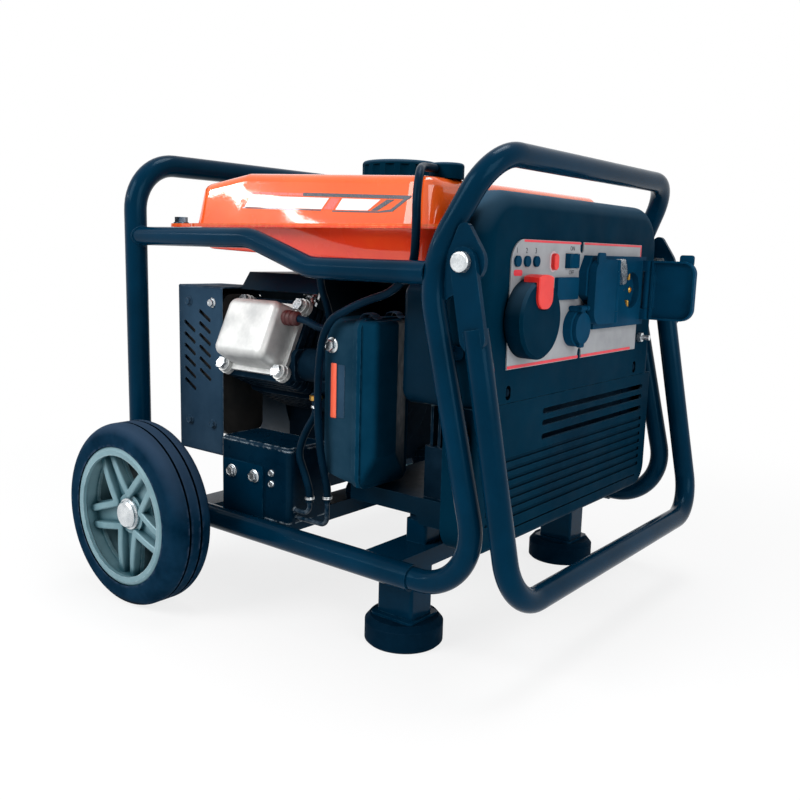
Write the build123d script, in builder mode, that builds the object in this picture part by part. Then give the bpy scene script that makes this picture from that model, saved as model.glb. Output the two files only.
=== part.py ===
"""Open-frame inverter generator on two wheels.

X runs towards the control panel, Z is up and the tyres and foot pads stand on Z = 0.
Left is the -Y side, where the cylinder of the engine points. Sizes are in millimetres.
"""

import os
from math import cos, radians, sin, tan

from build123d import *

os.makedirs("parts", exist_ok=True)

# Frame tubes
frame_tube = 25.4
frame_wall = 1.6
sleeve_gap = 0.1
sleeve_length = 55.0
hoop_wall = 1.6
top_rail_tube = 21.0
handle_tube = 23.0
handle_wall = 1.6

# Frame layout
rail_room = 22.5
rail_z = 88.5
rail_front_x = 155.0
rear_x = -263.0
rear_top_z = 482.0
rear_low_bend = 60.0
rear_top_bend = 55.0
front_corner_x = 232.7
front_corner_bend = 55.0
elbow_x = 161.8
elbow_z = 375.0
elbow_bend = 110.0
bar_x = 210.9
bar_inset = 23.1
bar_z = 474.8
bar_bend = 48.0
top_rail_rear_z = 398.6
top_rail_front_z = 371.0
top_rail_kink_rear = -67.0
top_rail_kink_front = 19.0
top_rail_bend = 60.0

# Cross beams and feet
beam_height = 18.0
beam_wall = 2.0
front_beam_width = 46.0
engine_beam_width = 36.0
foot_x = 111.0
foot_inset = 46.5
pad_radius = 40.0
pad_height = 27.0
post_length = 44.0
post_width = 34.0
post_wall = 2.5

# Wheels
wheel_radius = 100.0
tyre_width = 50.0
tyre_shoulder = 13.0
tread_depth = 2.5
rim_radius = 76.0
rim_wall = 6.0
lip_inner = 66.5
web_thick = 4.0
web_sink = 8.0
rib_width = 8.0
rib_inner_half = 13.0
rib_outer_half = 9.3
rib_crown = 5.0
spoke_angle = 122.0
hub_radius = 22.0
hub_width = 35.0
axle_x = -171.5
axle_radius = 6.0
running_gap = 0.05
bracket_thick = 6.0
weld_depth = 1.2
spacer_length = 27.2
spacer_radius = 10.0
side_gap = 0.4
nut_washer_radius = 17.0
nut_washer_thick = 2.0
nut_length = 5.0
nut_radius = 15.0
axle_stub = 5.0

# Folding handle
pivot_x = 201.0
pivot_z = 381.4
handle_x = 260.9
handle_z = 83.4
handle_inset = 3.0
handle_bend = 45.0
strap_thick = 5.0
strap_width = 26.0
strap_length = 78.0
tube_start = 58.0
plate_thick = 5.0
plate_gap = 0.3
pivot_radius = 5.0
pivot_head = 9.0
pivot_head_thick = 6.0

# Fuel tank
flange_z = 412.0
flange_thick = 2.0
flange_width = 9.0
tank_rear = -203.0
tank_front = 142.0
tank_half = 186.0
tank_corner = 30.0
tank_taper = 12.0
tank_wall = 1.5
crown_rear_z = 455.0
crown_high_x = -115.0
crown_high_z = 468.0
crown_front_z = 458.0
floor_rear_z = 387.0
floor_front_z = 374.0
lower_inset = 4.0
lower_taper = 20.0
rear_tab_x = -226.0
rear_tab_y = 176.0
front_tab_x = 158.0
front_tab_y = 172.0
tab_radius = 12.0
tank_rubber = 4.0
lug_thick = 3.0
tank_bolt = 4.0
cap_x = -29.0
cap_y = -15.0
cap_radius = 44.0
cap_height = 21.0
neck_radius = 30.0
neck_height = 18.0
valve_x = 118.0
valve_y = -128.0
valve_radius = 17.0
valve_height = 13.0
hose_tube = 8.0
hose_wall = 1.5

# Control box
panel_x = 206.0
box_rear = 171.0
box_half = 190.0
box_top = 446.0
box_corner = 48.0
box_edge = 17.0
box_wall = 3.0
split_z = 252.0
split_gap = 0.5
louver_extra = 4.0
louver_bottom = 112.0
louver_corner = 26.0
louver_edge = 6.0
slot_height = 6.0
slot_left = -73.0
slot_right = 170.0
groove_height = 4.2
groove_depth = 1.6
groove_pitch = 9.4
groove_count = 7
inlay_left = -148.0
inlay_right = 136.0
inlay_bottom = 284.0
inlay_top = 403.0
inlay_thick = 1.2
inlay_big_corner = 22.0
dial_y = -119.0
dial_z = 330.0
dial_radius = 37.0
dial_thick = 18.0
dial_shaft = 5.0
tongue_width = 27.0
tongue_length = 31.5
pointer_radius = 41.5
pointer_lip = 13.5
tongue_thick = 3.0
lamp_radius = 5.0
button_width = 9.0
button_height = 16.0
button_gap = 0.3
outlet_y = -25.0
outlet_z = 317.0
outlet_radius = 19.0
outlet_depth = 9.0
outlet_bore = 12.0
breaker_left = -66.0
breaker_right = -22.0
breaker_bottom = 346.0
breaker_top = 368.0
breaker_thick = 4.0
socket_thick = 9.0
socket_bottom = 314.0
socket_top = 390.0
left_hinge_y = 42.0
right_hinge_y = 126.0
lid_reach = 54.5
lid_bottom = 320.0
lid_top = 386.0
lid_thick = 8.0
lid_wall = 2.0
lid_open = 92.0
lid_pin = 2.0
lid_barrel = 4.5
lid_gap = 0.4
knuckle_height = 12.0
tray_z = 145.0
tray_thick = 2.5
tray_rear = 28.0
tray_inset = 33.0
tray_skirt = 16.0
strut_inset = 19.0
strut_side = 26.0
stud_inset = 43.0
screw_inset = 49.0
stud_z = 297.0
stud_radius = 3.0

# Engine
engine_x = -110.0
crank_y = 20.0
crank_z = 208.0
bore_tilt = 25.2
case_radius = 78.0
case_rear = -163.0
case_front = -57.0
mount_radius = 14.0
mount_height = 24.0
mount_spread = 65.0
beam_spread = 50.0
shaft_radius = 12.0
barrel_end = 145.0
fin_count = 7
fin_thick = 2.6
fin_pitch = 8.6
fin_width = 104.0
fin_height = 104.0
head_end = 186.0
head_width = 104.0
head_height = 96.0
gasket_thick = 1.5
cover_flange = 5.0
cover_depth = 34.0
cover_width = 86.0
cover_height = 74.0
cover_corner = 14.0
rotor_radius = 78.0
rotor_wall = 8.0
rotor_rear = -212.0
air_gap = 1.0
stator_bore = 30.0
fan_depth = 13.0
drum_radius = 88.0
drum_wall = 2.0
drum_rear = -238.0
recoil_angle = 20.0
recoil_x = -225.0
muffler_rear = -238.0
muffler_front = -172.0
muffler_left = -160.0
muffler_right = -98.0
muffler_bottom = 166.0
muffler_top = 334.0
guard_wall = 1.5
guard_gap = 6.0
guard_back = 11.0
guard_drop = 24.0
airbox_rear = 16.0
airbox_split = 60.0
airbox_front = 84.0
airbox_shoulder = -153.0
airbox_left = -186.0
airbox_right = -112.0
airbox_bottom = 152.0
airbox_heel = 163.0
airbox_chin = 34.0
airbox_top = 321.0
airbox_wall = 2.5
carb_y = -140.0
carb_z = 262.0
carb_radius = 18.0
can_rear = -132.0
can_front = -22.0
can_room = 13.5
can_width = 61.0
can_top = 180.0
bowl_x = -16.0
fitting_x = -8.0
fitting_y = -174.0
fitting_z = 236.0
vent_spigot_x = 22.0
vent_spigot_in = 12.0
loop_spigot_x = 0.0
loop_spigot_in = 8.5
can_plate_x = -92.0
can_plate_length = 64.0
can_plate_low = 93.5
can_plate_high = 156.0
can_plate_thick = 3.0

# Sizes that follow from the values above
hoop_tube = frame_tube - 2 * frame_wall - 2 * sleeve_gap
rail_y = max(box_half, tank_half + louver_extra) + rail_room
bar_y = rail_y - bar_inset
foot_y = rail_y - foot_inset
handle_y = rail_y - handle_inset
louver_half = box_half + louver_extra
tray_half = box_half - tray_inset
strut_y = tray_half - strut_inset
stud_y = box_half - stud_inset
can_left = can_room - rail_y
can_right = can_left + can_width
vent_spigot_y = can_left + vent_spigot_in
loop_spigot_y = can_left + loop_spigot_in
beam_top = rail_z + beam_height / 2
beam_bottom = rail_z - beam_height / 2
bracket_y = rail_y + frame_tube / 2 - weld_depth
wheel_y = bracket_y + bracket_thick + spacer_length + side_gap + tyre_width / 2
axle_z = wheel_radius
engine_base = beam_top + mount_height
can_bottom = beam_top
inlay_face = panel_x + inlay_thick
hub_inner_y = wheel_y - tyre_width / 2
hub_outer_y = hub_inner_y + hub_width
strap_inner_y = rail_y - 0.2
strap_outer_y = strap_inner_y + strap_thick
plate_outer_y = strap_inner_y - plate_gap
lug_top = flange_z - flange_thick - tank_rubber
strut_height = tray_z - mount_height - beam_top
tank_length = tank_front - tank_rear
tank_mid = (tank_front + tank_rear) / 2
tab_points = [
    (rear_tab_x, -rear_tab_y),
    (rear_tab_x, rear_tab_y),
    (front_tab_x, -front_tab_y),
    (front_tab_x, front_tab_y),
]


def save(piece, name):
    """Labels the finished solid and writes it as a STEP file."""
    piece.part.label = name
    export_step(piece.part, f"parts/{name}.step")


def bent_wire(points, radii):
    """Straight runs joined by tangent arcs, through corner points in space."""
    corners = [Vector(*p) for p in points]
    with BuildLine() as line:
        start = corners[0]
        for corner, after, radius in zip(corners[1:-1], corners[2:], radii):
            back = (start - corner).normalized()
            ahead = (after - corner).normalized()
            half = radians(back.get_angle(ahead)) / 2
            first = corner + back * (radius / tan(half))
            last = corner + ahead * (radius / tan(half))
            middle = corner + (back + ahead).normalized() * (radius / sin(half) - radius)
            Line(start, first)
            ThreePointArc(first, middle, last)
            start = last
        Line(start, corners[-1])
    return line.wire()


def soft_radii(points):
    """The largest arcs that fit a hose, from the runs beside each corner."""
    corners = [Vector(*p) for p in points]
    radii = []
    for before, corner, after in zip(corners, corners[1:], corners[2:]):
        run = min((corner - before).length, (after - corner).length)
        turn = radians((corner - before).get_angle(after - corner))
        radii.append(0.45 * run / tan(turn / 2))
    return radii


def round_bar(path, outer, wall=0.0, mode=Mode.ADD):
    """Sweeps a round tube, or a solid rod without a wall, along a path."""
    with BuildSketch(Plane(origin=path @ 0, z_dir=path % 0)) as section:
        Circle(outer / 2)
        if wall:
            Circle(outer / 2 - wall, mode=Mode.SUBTRACT)
    sweep(section.sketch, path=path, mode=mode)


def along_x(x, y, z):
    """A plane at a point that looks along +X, with Y and Z as its own axes."""
    return Plane(origin=(x, y, z), x_dir=(0, 1, 0), z_dir=(1, 0, 0))


def along_y(x, y, z, side=1):
    """A plane at a point that looks along +Y or -Y, with X as its first axis."""
    return Plane(origin=(x, y, z), x_dir=(1, 0, 0), z_dir=(0, side, 0))


def disc(plane, radius, length, mode=Mode.ADD):
    """A cylinder that grows from a plane along its normal."""
    with BuildSketch(plane) as section:
        Circle(radius)
    extrude(section.sketch, amount=length, mode=mode)


def ring(plane, outer, inner, length):
    """A flat ring or sleeve that grows from a plane along its normal."""
    with BuildSketch(plane) as section:
        Circle(outer)
        Circle(inner, mode=Mode.SUBTRACT)
    extrude(section.sketch, amount=length)


def hex_bolt(plane, radius, head, head_thick, length):
    """A bolt with its head outside a plane and its shank behind it."""
    with BuildSketch(plane) as section:
        RegularPolygon(head, 6)
    extrude(section.sketch, amount=head_thick)
    disc(plane, radius, -length)


# Rear hoop and bottom rails, one bent tube with wheel brackets, stub axles and a canister plate
rear_path = bent_wire(
    [
        (rail_front_x, -rail_y, rail_z),
        (rear_x, -rail_y, rail_z),
        (rear_x, -rail_y, rear_top_z),
        (rear_x, rail_y, rear_top_z),
        (rear_x, rail_y, rail_z),
        (rail_front_x, rail_y, rail_z),
    ],
    [rear_low_bend, rear_top_bend, rear_top_bend, rear_low_bend],
)
with BuildPart() as rear_frame:
    round_bar(rear_path, frame_tube, frame_wall)
    for side in (-1, 1):
        with BuildSketch(along_y(axle_x, side * bracket_y, axle_z, side)):
            with Locations((0, side * 4)):
                RectangleRounded(66, 62, 12)
        extrude(amount=bracket_thick)
        spacer_plane = along_y(axle_x, side * (bracket_y + bracket_thick), axle_z, side)
        disc(spacer_plane, spacer_radius, spacer_length)
        disc(spacer_plane, axle_radius, hub_outer_y + axle_stub - bracket_y - bracket_thick)
    with BuildSketch(along_y(can_plate_x, can_left, (can_plate_low + can_plate_high) / 2, -1)):
        RectangleRounded(can_plate_length, can_plate_high - can_plate_low, 3)
        with Locations((engine_x + beam_spread - can_plate_x, (can_plate_low - can_plate_high) / 2)):
            Rectangle(engine_beam_width + 1, 2 * (beam_top - can_plate_low) + 1, mode=Mode.SUBTRACT)
    extrude(amount=can_plate_thick)
save(rear_frame, "rear_frame")
with BuildPart() as rear_rod:
    round_bar(rear_path, frame_tube)

# Front hoop with the lifting bar, its ends sleeved into the bottom rails, with plates, lugs and spacers
hoop_path = bent_wire(
    [
        (rail_front_x - sleeve_length, -rail_y, rail_z),
        (front_corner_x, -rail_y, rail_z),
        (elbow_x, -rail_y, elbow_z),
        (bar_x, -bar_y, bar_z),
        (bar_x, bar_y, bar_z),
        (elbow_x, rail_y, elbow_z),
        (front_corner_x, rail_y, rail_z),
        (rail_front_x - sleeve_length, rail_y, rail_z),
    ],
    [front_corner_bend, elbow_bend, bar_bend, bar_bend, elbow_bend, front_corner_bend],
)
with BuildPart() as hoop_rod:
    round_bar(hoop_path, hoop_tube)


def hoop_x(z):
    """Where the straight part of a front upright stands at a height."""
    return front_corner_x + (elbow_x - front_corner_x) * (z - rail_z) / (elbow_z - rail_z)


def hinge_plate(side):
    """Plate at the elbow of the hoop that carries a pivot of the folding handle."""
    with BuildSketch(along_y(0, side * (plate_outer_y - plate_thick), 0, side)) as plate:
        with Locations((pivot_x, -side * pivot_z)):
            Circle(19)
        with Locations((pivot_x - 3, -side * (pivot_z + 26))):
            Circle(7)
        with Locations((hoop_x(pivot_z - 34), -side * (pivot_z - 34))):
            Circle(5)
        make_hull()
        with Locations((pivot_x, -side * pivot_z)):
            Circle(pivot_radius, mode=Mode.SUBTRACT)
    extrude(plate.sketch, amount=plate_thick)


def front_lug(side):
    """Lug from an upright of the hoop to a front tab of the tank."""
    share = (lug_top - elbow_z) / (bar_z - elbow_z)
    with BuildSketch(Plane.XY.offset(lug_top - lug_thick)) as lug:
        with Locations((front_tab_x, side * front_tab_y)):
            Circle(7)
        with Locations((front_tab_x - 1, side * (front_tab_y + 6))):
            Circle(5)
        with Locations((elbow_x + (bar_x - elbow_x) * share - 8, side * (rail_y + (bar_y - rail_y) * share - 2))):
            Circle(5)
        make_hull()
        with Locations((front_tab_x, side * front_tab_y)):
            Circle(tank_bolt + 0.3, mode=Mode.SUBTRACT)
    extrude(lug.sketch, amount=lug_thick)


with BuildPart() as front_hoop:
    round_bar(hoop_path, hoop_tube)
    for side in (-1, 1):
        hinge_plate(side)
        front_lug(side)
        for half, z, shift in ((box_half, 300, 0), (louver_half, 225, -6)):
            disc(along_y(hoop_x(z) + shift, side * half, z, side), 7, rail_y - half)
    round_bar(hoop_path, hoop_tube - 2 * hoop_wall, mode=Mode.SUBTRACT)
save(front_hoop, "front_hoop")


# Top side rails, coped onto the rear hoop and the front hoop
def top_rail_path(side):
    """Centre line of one top rail, level, then down a step, then level."""
    y = side * rail_y
    return bent_wire(
        [
            (rear_x, y, top_rail_rear_z),
            (top_rail_kink_rear, y, top_rail_rear_z),
            (top_rail_kink_front, y, top_rail_front_z),
            (hoop_x(top_rail_front_z), y, top_rail_front_z),
        ],
        [top_rail_bend, top_rail_bend],
    )


with BuildPart() as top_rails:
    for side in (-1, 1):
        rail_path = top_rail_path(side)
        round_bar(rail_path, top_rail_tube)
        with BuildSketch(Plane.XY.offset(lug_top - lug_thick)):
            with Locations((rear_tab_x, side * (rear_tab_y - tab_radius + rail_y) / 2)):
                RectangleRounded(2 * tab_radius, rail_y - rear_tab_y + tab_radius, 5)
            with Locations((rear_tab_x, side * rear_tab_y)):
                Circle(tank_bolt + 0.3, mode=Mode.SUBTRACT)
        extrude(amount=lug_thick)
        round_bar(rail_path, top_rail_tube - 2 * hoop_wall, mode=Mode.SUBTRACT)
    add(rear_rod.part, mode=Mode.SUBTRACT)
    add(hoop_rod.part, mode=Mode.SUBTRACT)
save(top_rails, "top_rails")


# Cross beams of box section, coped onto the bottom rails; the front one has foot posts and tray struts
def cross_beam(x, width):
    """One hollow beam between the bottom rails."""
    with Locations((x, 0, rail_z)):
        Box(width, 2 * rail_y, beam_height)
        Box(width - 2 * beam_wall, 2 * rail_y, beam_height - 2 * beam_wall, mode=Mode.SUBTRACT)


with BuildPart() as cross_beams:
    cross_beam(foot_x, front_beam_width)
    for x in (engine_x - beam_spread, engine_x + beam_spread):
        cross_beam(x, engine_beam_width)
    add(rear_rod.part, mode=Mode.SUBTRACT)
    for y in (-foot_y, foot_y):
        with BuildSketch(Plane(origin=(foot_x, y, pad_height))):
            RectangleRounded(post_length, post_width, 3)
            RectangleRounded(post_length - 2 * post_wall, post_width - 2 * post_wall, 1, mode=Mode.SUBTRACT)
        extrude(amount=beam_bottom - pad_height)
        with BuildSketch(Plane(origin=(foot_x, y, pad_height))):
            RectangleRounded(post_length + 8, post_width + 14, 5)
        extrude(amount=post_wall)
    for y in (-strut_y, strut_y):
        with BuildSketch(Plane(origin=(foot_x, y, beam_top))):
            RectangleRounded(strut_side, strut_side, 3)
        extrude(amount=strut_height)
save(cross_beams, "cross_beams")

# Rubber foot pads

with BuildPart() as foot_pads:
    for y in (-foot_y, foot_y):
        with BuildSketch(Plane(origin=(foot_x, y, 0), x_dir=(1, 0, 0), z_dir=(0, -1, 0))) as pad:
            with BuildLine():
                Polyline(
                    (0, 0),
                    (pad_radius - 2, 0),
                    (pad_radius, 2),
                    (pad_radius, pad_height - 6),
                    (pad_radius - 5, pad_height),
                    (0, pad_height),
                    close=True,
                )
            make_face()
        revolve(axis=Axis((foot_x, y, 0), (0, 0, 1)))
save(foot_pads, "foot_pads")

# Rubber mounts under the crankcase and under the inverter tray
mount_places = [
    (engine_x + x, crank_y + y, beam_top)
    for x in (-beam_spread, beam_spread)
    for y in (-mount_spread, mount_spread)
] + [(foot_x, y, beam_top + strut_height) for y in (-strut_y, strut_y)]
with BuildPart() as rubber_mounts:
    for x, y, z in mount_places:
        with BuildSketch(Plane(origin=(x, y, z), x_dir=(1, 0, 0), z_dir=(0, -1, 0))):
            with BuildLine():
                Polyline(
                    (0, 0),
                    (mount_radius, 0),
                    (mount_radius, 4),
                    (mount_radius - 3, mount_height / 2),
                    (mount_radius, mount_height - 4),
                    (mount_radius, mount_height),
                    (0, mount_height),
                    close=True,
                )
            make_face()
        revolve(axis=Axis((x, y, 0), (0, 0, 1)))
save(rubber_mounts, "rubber_mounts")

# Closed cap nuts on the stub axles
with BuildPart() as axle_nuts:
    for side in (-1, 1):
        nut_plane = along_y(axle_x, side * (hub_outer_y + side_gap), axle_z, side)
        disc(nut_plane, nut_washer_radius, nut_washer_thick)
        disc(nut_plane.offset(nut_washer_thick), nut_radius, nut_length)
        chamfer(axle_nuts.edges().group_by(Axis.Y)[0 if side < 0 else -1], 2)
        disc(nut_plane, axle_radius + running_gap, nut_washer_thick + nut_length - 1.5, Mode.SUBTRACT)
save(axle_nuts, "axle_nuts")


# Wheels: a rim with five pairs of curved ribs, and a tyre
def spoke_window(inner, outer, inner_half, outer_half):
    """An opening between two spokes, from one radius to another, growing wider outwards."""

    def at(radius, angle):
        return (radius * cos(radians(angle)), radius * sin(radians(angle)))

    with BuildSketch() as window:
        with BuildLine():
            Line(at(inner, -inner_half), at(outer, -outer_half))
            ThreePointArc(at(outer, -outer_half), at(outer, 0), at(outer, outer_half))
            Line(at(outer, outer_half), at(inner, inner_half))
            Line(at(inner, inner_half), at(inner, -inner_half))
        make_face()
        fillet(window.vertices(), 2.5)
    return window.sketch


def spoke_ribs():
    """Two ribs side by side, closing up a little from the hub out to the rim."""
    inner = hub_radius - 4
    outer = rim_radius - rim_wall
    with BuildSketch() as ribs:
        for side in (-1, 1):
            run = Vector(outer - inner, side * (rib_outer_half - rib_inner_half))
            lean = side * Vector(1, 0).get_angle(run)
            with Locations(((inner + outer) / 2, side * (rib_inner_half + rib_outer_half) / 2)):
                SlotCenterToCenter(run.length, rib_width, rotation=-lean)
    return ribs.sketch


wide_window = spoke_window(hub_radius + 13, rim_radius - rim_wall - 2, 7, 23)
rib_pair = spoke_ribs()
for side, word in ((-1, "left"), (1, "right")):
    middle_plane = along_y(axle_x, side * wheel_y, axle_z, side)
    spin_axis = Axis((axle_x, side * wheel_y, axle_z), (0, side, 0))
    section_plane = Plane(origin=(axle_x, side * wheel_y, axle_z), x_dir=(0, side, 0), z_dir=(-side, 0, 0))
    half = tyre_width / 2
    with BuildPart() as rim:
        with BuildSketch(section_plane):
            with BuildLine():
                Polyline(
                    (-half + 2, rim_radius),
                    (-half + 2, rim_radius - rim_wall),
                    (half - 7, rim_radius - rim_wall),
                    (half - 4, lip_inner),
                    (half, lip_inner),
                    (half + 0.5, rim_radius - 4),
                    (half - 1.5, rim_radius),
                    close=True,
                )
            make_face()
        revolve(axis=spin_axis)
        web_low = hub_width - half - web_sink
        web_plane = middle_plane.offset(web_low)
        with BuildSketch(web_plane):
            Circle(rim_radius - rim_wall / 2)
            Circle(hub_radius - 2, mode=Mode.SUBTRACT)
            with PolarLocations(0, 5, start_angle=spoke_angle + 36):
                add(wide_window, mode=Mode.SUBTRACT)
        extrude(amount=web_thick)
        with BuildPart(mode=Mode.PRIVATE) as ribs:
            with BuildSketch(web_plane):
                with PolarLocations(0, 5, start_angle=spoke_angle):
                    add(rib_pair)
            extrude(amount=web_sink + rib_crown + 5)
            with BuildSketch(section_plane) as dome:
                with BuildLine():
                    crown = hub_width - half + rib_crown
                    Polyline((crown - 3, 8), (web_low, 8), (web_low, rim_radius - 2), (crown - 2.5, rim_radius - 2))
                    ThreePointArc((crown - 2.5, rim_radius - 2), (crown, rim_radius - 32), (crown - 3, 8))
                make_face()
            revolve(dome.sketch, axis=spin_axis, mode=Mode.INTERSECT)
            ridges = [e for e in ribs.edges() if abs(e.center().Y) > wheel_y + crown - 4]
            fillet(ridges, 2.2)
        add(ribs.part)
        disc(middle_plane.offset(-half), hub_radius, hub_width)
        disc(middle_plane.offset(-half), axle_radius + running_gap, hub_width, Mode.SUBTRACT)
    save(rim, f"wheel_rim_{word}")

    with BuildPart() as tyre:
        with BuildSketch(section_plane) as tread:
            with Locations((0, (wheel_radius + rim_radius) / 2)):
                Rectangle(tyre_width, wheel_radius - rim_radius)
            shoulders = tread.vertices().sort_by(Axis.Y)[-2:]
            fillet(shoulders, tyre_shoulder)
            with Locations((-7, wheel_radius), (7, wheel_radius)):
                Rectangle(2.5, 2 * tread_depth, mode=Mode.SUBTRACT)
        revolve(axis=spin_axis)
    save(tyre, f"tyre_{word}")

# Folding handle: a U of tube with a flat strap welded to each end
leg_run = Vector(handle_x - pivot_x, 0, handle_z - pivot_z)
leg_dir = leg_run.normalized()
leg_top = Vector(pivot_x, 0, pivot_z) + leg_dir * tube_start
handle_path = bent_wire(
    [
        (leg_top.X, -handle_y, leg_top.Z),
        (handle_x, -handle_y, handle_z),
        (handle_x, handle_y, handle_z),
        (leg_top.X, handle_y, leg_top.Z),
    ],
    [handle_bend, handle_bend],
)
with BuildPart() as folding_handle:
    round_bar(handle_path, handle_tube, handle_wall)
    for side in (-1, 1):
        strap_plane = Plane(
            origin=(pivot_x, side * strap_inner_y, pivot_z),
            x_dir=(leg_dir.X, 0, leg_dir.Z),
            z_dir=(0, side, 0),
        )
        with BuildSketch(strap_plane):
            with Locations((strap_length / 2 - strap_width / 4, 0)):
                SlotOverall(strap_length + strap_width / 2, strap_width)
        extrude(amount=strap_thick)
        disc(strap_plane, pivot_radius + running_gap, strap_thick, Mode.SUBTRACT)
save(folding_handle, "folding_handle")

with BuildPart() as pivot_bolts:
    for side in (-1, 1):
        head_plane = along_y(pivot_x, side * (strap_outer_y + plate_gap), pivot_z, side)
        disc(head_plane, pivot_head, pivot_head_thick)
        fillet(pivot_bolts.edges().group_by(Axis.Y)[0 if side < 0 else -1], 2)
        disc(head_plane, pivot_radius, -(strap_thick + 2 * plate_gap + plate_thick + 6))
        with BuildSketch(along_y(pivot_x, side * (plate_outer_y - plate_thick), pivot_z, -side)):
            RegularPolygon(9, 6)
        extrude(amount=5)
save(pivot_bolts, "pivot_bolts")

# Fuel tank, two pressed halves that meet at a seam flange
def flange_sketch(z):
    """Seam flange with a bolt tab near each corner."""
    with BuildSketch(Plane.XY.offset(z)) as flange:
        with Locations((tank_mid, 0)):
            RectangleRounded(
                tank_length + 2 * flange_width,
                2 * (tank_half + flange_width),
                tank_corner + flange_width,
            )
        for x, y in tab_points:
            inward = tank_rear + tank_corner if x < tank_mid else tank_front - tank_corner
            with Locations(((x + inward) / 2, y)):
                SlotOverall(abs(inward - x) + 2 * tab_radius, 2 * tab_radius)
        with Locations(*tab_points):
            Circle(tank_bolt + 0.3, mode=Mode.SUBTRACT)
    return flange.sketch


def upper_form(inset):
    """The upper half as a solid, drawn in by an inset on every wall."""
    with BuildPart() as form:
        with BuildSketch(Plane.XY.offset(flange_z)):
            with Locations((tank_mid, 0)):
                RectangleRounded(tank_length - 2 * inset, 2 * (tank_half - inset), tank_corner - inset)
        extrude(amount=crown_high_z + 10 - flange_z, taper=tank_taper)
        with BuildSketch(Plane.XZ) as side_view:
            with BuildLine():
                Polyline(
                    (tank_rear, flange_z),
                    (tank_rear, crown_rear_z - inset),
                    (crown_high_x, crown_high_z - inset),
                    (tank_front, crown_front_z - inset),
                    (tank_front, flange_z),
                    close=True,
                )
            make_face()
        extrude(side_view.sketch, amount=tank_half, both=True, mode=Mode.INTERSECT)
        top = form.faces().filter_by(lambda f: f.normal_at().Z > 0.9)
        rim = [e for e in top.edges() if abs(e.tangent_at(0.5).Y) < 0.98 or abs(e.center().X - crown_high_x) > 5]
        fillet(rim, 11 - inset)
    return form.part


upper_core = upper_form(tank_wall)
with BuildPart() as tank_upper:
    add(upper_form(0))
    extrude(flange_sketch(flange_z), amount=flange_thick)
    neck_base = crown_high_z - 6
    disc(Plane.XY.offset(neck_base).shift_origin((cap_x, cap_y, neck_base)), neck_radius, neck_height)
    add(upper_core, mode=Mode.SUBTRACT)
    disc(
        Plane.XY.offset(neck_base - 6).shift_origin((cap_x, cap_y, neck_base - 6)),
        neck_radius - tank_wall,
        neck_height + 8,
        Mode.SUBTRACT,
    )
save(tank_upper, "tank_upper")


def lower_form(inset):
    """The lower half as a solid, its floor falling towards the front."""
    top_z = flange_z - flange_thick
    with BuildPart() as form:
        with BuildSketch(Plane(origin=(tank_mid, 0, top_z), x_dir=(1, 0, 0), z_dir=(0, 0, -1))):
            RectangleRounded(
                tank_length - 2 * lower_inset - 2 * inset,
                2 * (tank_half - lower_inset - inset),
                tank_corner - lower_inset - inset,
            )
        extrude(amount=top_z - floor_front_z + 10, taper=lower_taper)
        with BuildSketch(Plane.XZ) as side_view:
            with BuildLine():
                Polyline(
                    (tank_rear, top_z),
                    (tank_rear, floor_rear_z + inset),
                    (tank_front, floor_front_z + inset),
                    (tank_front, top_z),
                    close=True,
                )
            make_face()
        extrude(side_view.sketch, amount=tank_half, both=True, mode=Mode.INTERSECT)
        fillet(form.faces().sort_by(Axis.Z)[0].edges(), 6 - inset)
    return form.part


with BuildPart() as tank_lower:
    add(lower_form(0))
    extrude(flange_sketch(flange_z - flange_thick), amount=flange_thick)
    add(lower_form(tank_wall), mode=Mode.SUBTRACT)
    with BuildSketch(Plane.XY.offset(flange_z - flange_thick - 1)):
        with Locations((tank_mid, 0)):
            RectangleRounded(
                tank_length - 2 * lower_inset - 2 * tank_wall,
                2 * (tank_half - lower_inset - tank_wall),
                tank_corner - lower_inset - tank_wall,
            )
    extrude(amount=flange_thick + 2, mode=Mode.SUBTRACT)
save(tank_lower, "tank_lower")

# Rubbers between the tank and its lugs
with BuildPart() as tank_rubbers:
    for x, y in tab_points:
        ring(Plane(origin=(x, y, lug_top)), 8.5, tank_bolt + 0.3, tank_rubber)
save(tank_rubbers, "tank_rubbers")

# Fuel cap with finger scallops, seated on the filler neck
cap_seat = crown_high_z - 6 + neck_height
cap_skirt = 11.0
with BuildPart() as fuel_cap:
    cap_base = Plane(origin=(cap_x, cap_y, cap_seat + side_gap - cap_skirt))
    disc(cap_base, cap_radius, cap_height)
    fillet(fuel_cap.edges().sort_by(Axis.Z)[-1], 4)
    disc(cap_base, neck_radius + 1, cap_skirt, Mode.SUBTRACT)
    with BuildSketch(cap_base) as scallops:
        with PolarLocations(cap_radius + 6, 16):
            Circle(8.5)
    extrude(amount=cap_height - 5, mode=Mode.SUBTRACT)
save(fuel_cap, "fuel_cap")


def tank_top(x):
    """Height of the tank's top wall at a place along its length."""
    if x < crown_high_x:
        share = (x - tank_rear) / (crown_high_x - tank_rear)
        return crown_rear_z + share * (crown_high_z - crown_rear_z)
    share = (x - crown_high_x) / (tank_front - crown_high_x)
    return crown_high_z + share * (crown_front_z - crown_high_z)


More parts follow.
